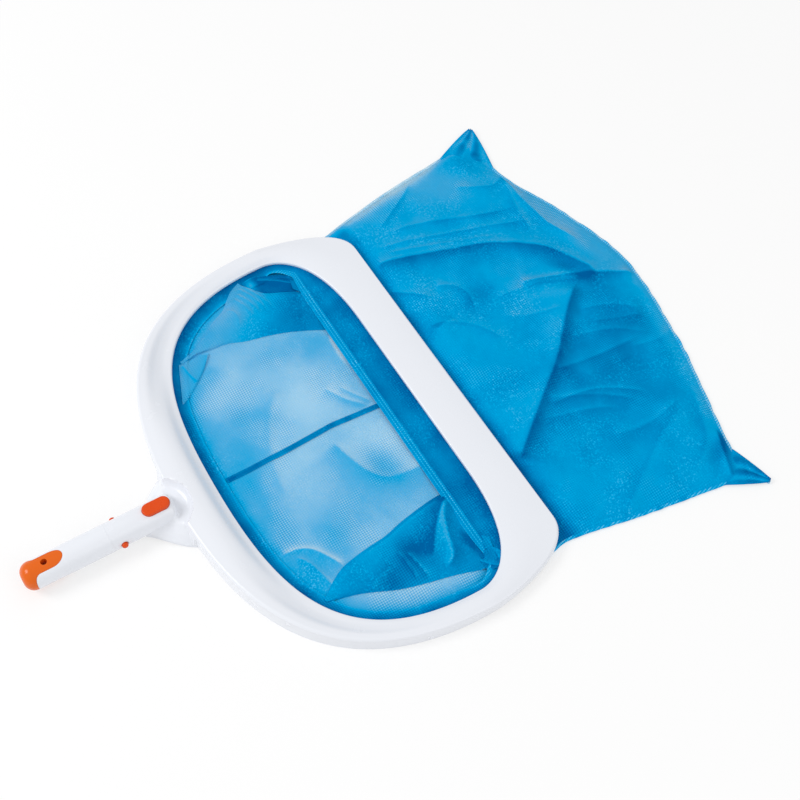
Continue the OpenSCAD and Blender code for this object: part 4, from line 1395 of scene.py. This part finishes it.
def make_floor():
    """A white floor that takes the shadow, and stays bright where the camera sees it."""
    corners = [(-1, -1), (1, -1), (1, 1), (-1, 1)]
    mesh = bpy.data.meshes.new("floor")
    half = FLOOR_HALF * MM
    mesh.from_pydata([(half * x, half * y, FLOOR_Z * MM) for x, y in corners], [], [(0, 1, 2, 3)])
    floor = add_object("floor", mesh)
    n = Nodes("floor")
    n.look(
        Base_Color=n.blend(n.noise(3.0), (0.93, 0.93, 0.93), (0.91, 0.91, 0.91)),
        Roughness=0.9,
        Specular_IOR_Level=0.1,
    )
    bright = n.node("Emission")
    n.put(bright, "Strength", 1.04)
    path = n.node("LightPath")
    seen = n.math("MAXIMUM", n.output(path, "Is Camera Ray"), n.output(path, "Is Glossy Ray"))
    seen = n.math("MAXIMUM", seen, n.output(path, "Is Transmission Ray"))
    through_net = n.output(path, "Transparent Depth") * 0.8 + 1.0
    mixed = n.node("MixShader")
    n.put(mixed, 0, seen * FLOOR_GLOW / through_net)
    n.put(mixed, 1, n.output(n.shader))
    n.put(mixed, 2, n.output(bright))
    n.put(n.tree.nodes["Material Output"], "Surface", n.output(mixed))
    mesh.materials.append(n.material)


CAMERA_PLACE = Vector((590.73, -21.02, 1052.26)) * MM
CAMERA_RIGHT = Vector((0.51022, 0.86004, 0))
CAMERA_UP = Vector((-0.72275, 0.42877, 0.54202))
CAMERA_LENS = 57.906


def make_camera():
    """The view of the photograph: from the handle's right, high above the lip."""
    data = bpy.data.cameras.new("camera")
    data.sensor_fit = "HORIZONTAL"
    data.sensor_width = 36
    data.lens = CAMERA_LENS
    data.clip_end = 50
    camera = add_object("camera", data)
    place = Matrix((CAMERA_RIGHT, CAMERA_UP, CAMERA_RIGHT.cross(CAMERA_UP))).transposed().to_4x4()
    place.translation = CAMERA_PLACE
    camera.matrix_world = place
    bpy.context.scene.camera = camera


LIGHT_AIM = Vector((0, 0.3, 0))


def area_light(name, place, size, power):
    """A round lamp that points at the middle of the part."""
    data = bpy.data.lights.new(name, "AREA")
    data.shape = "DISK"
    data.size = size
    data.energy = power
    light = add_object(name, data)
    light.location = place
    light.rotation_euler = (LIGHT_AIM - Vector(place)).to_track_quat("-Z", "Y").to_euler()


def make_light():
    """Two soft lamps, and a world that the camera sees as white."""
    area_light("key", (-0.9, -1.5, 1.9), size=1.2, power=28)
    area_light("fill", (1.8, 0.9, 1.6), size=1.8, power=9)
    world = bpy.data.worlds.new("world")
    bpy.context.scene.world = world
    world.use_nodes = True
    tree = world.node_tree
    background = tree.nodes["Background"]
    background.inputs["Color"].default_value = (1, 1, 1, 1)
    path = tree.nodes.new("ShaderNodeLightPath")
    seen = tree.nodes.new("ShaderNodeMapRange")
    tree.links.new(path.outputs["Is Camera Ray"], seen.inputs["Value"])
    seen.inputs["To Min"].default_value = WORLD_LIGHT
    seen.inputs["To Max"].default_value = WORLD_SEEN
    tree.links.new(seen.outputs["Result"], background.inputs["Strength"])


# ---------------- build

make_camera()
make_materials()
make_floor()
make_light()
make_frame_ring()
make_handle()
make_cap()
make_button()
make_net()

CAD_DRESS = {
    # The frame base wears the darker copy of the white, which is painted shade.
    "frame_base": "white_painted_shade",
    "frame_screws": "steel",
    "lock_leg_left": "signal",
    "lock_leg_right": "signal",
}
for node, material in CAD_DRESS.items():
    nodes[node].data.materials.clear()
    nodes[node].data.materials.append(materials[material])

bpy.context.scene.view_settings.view_transform = "Standard"
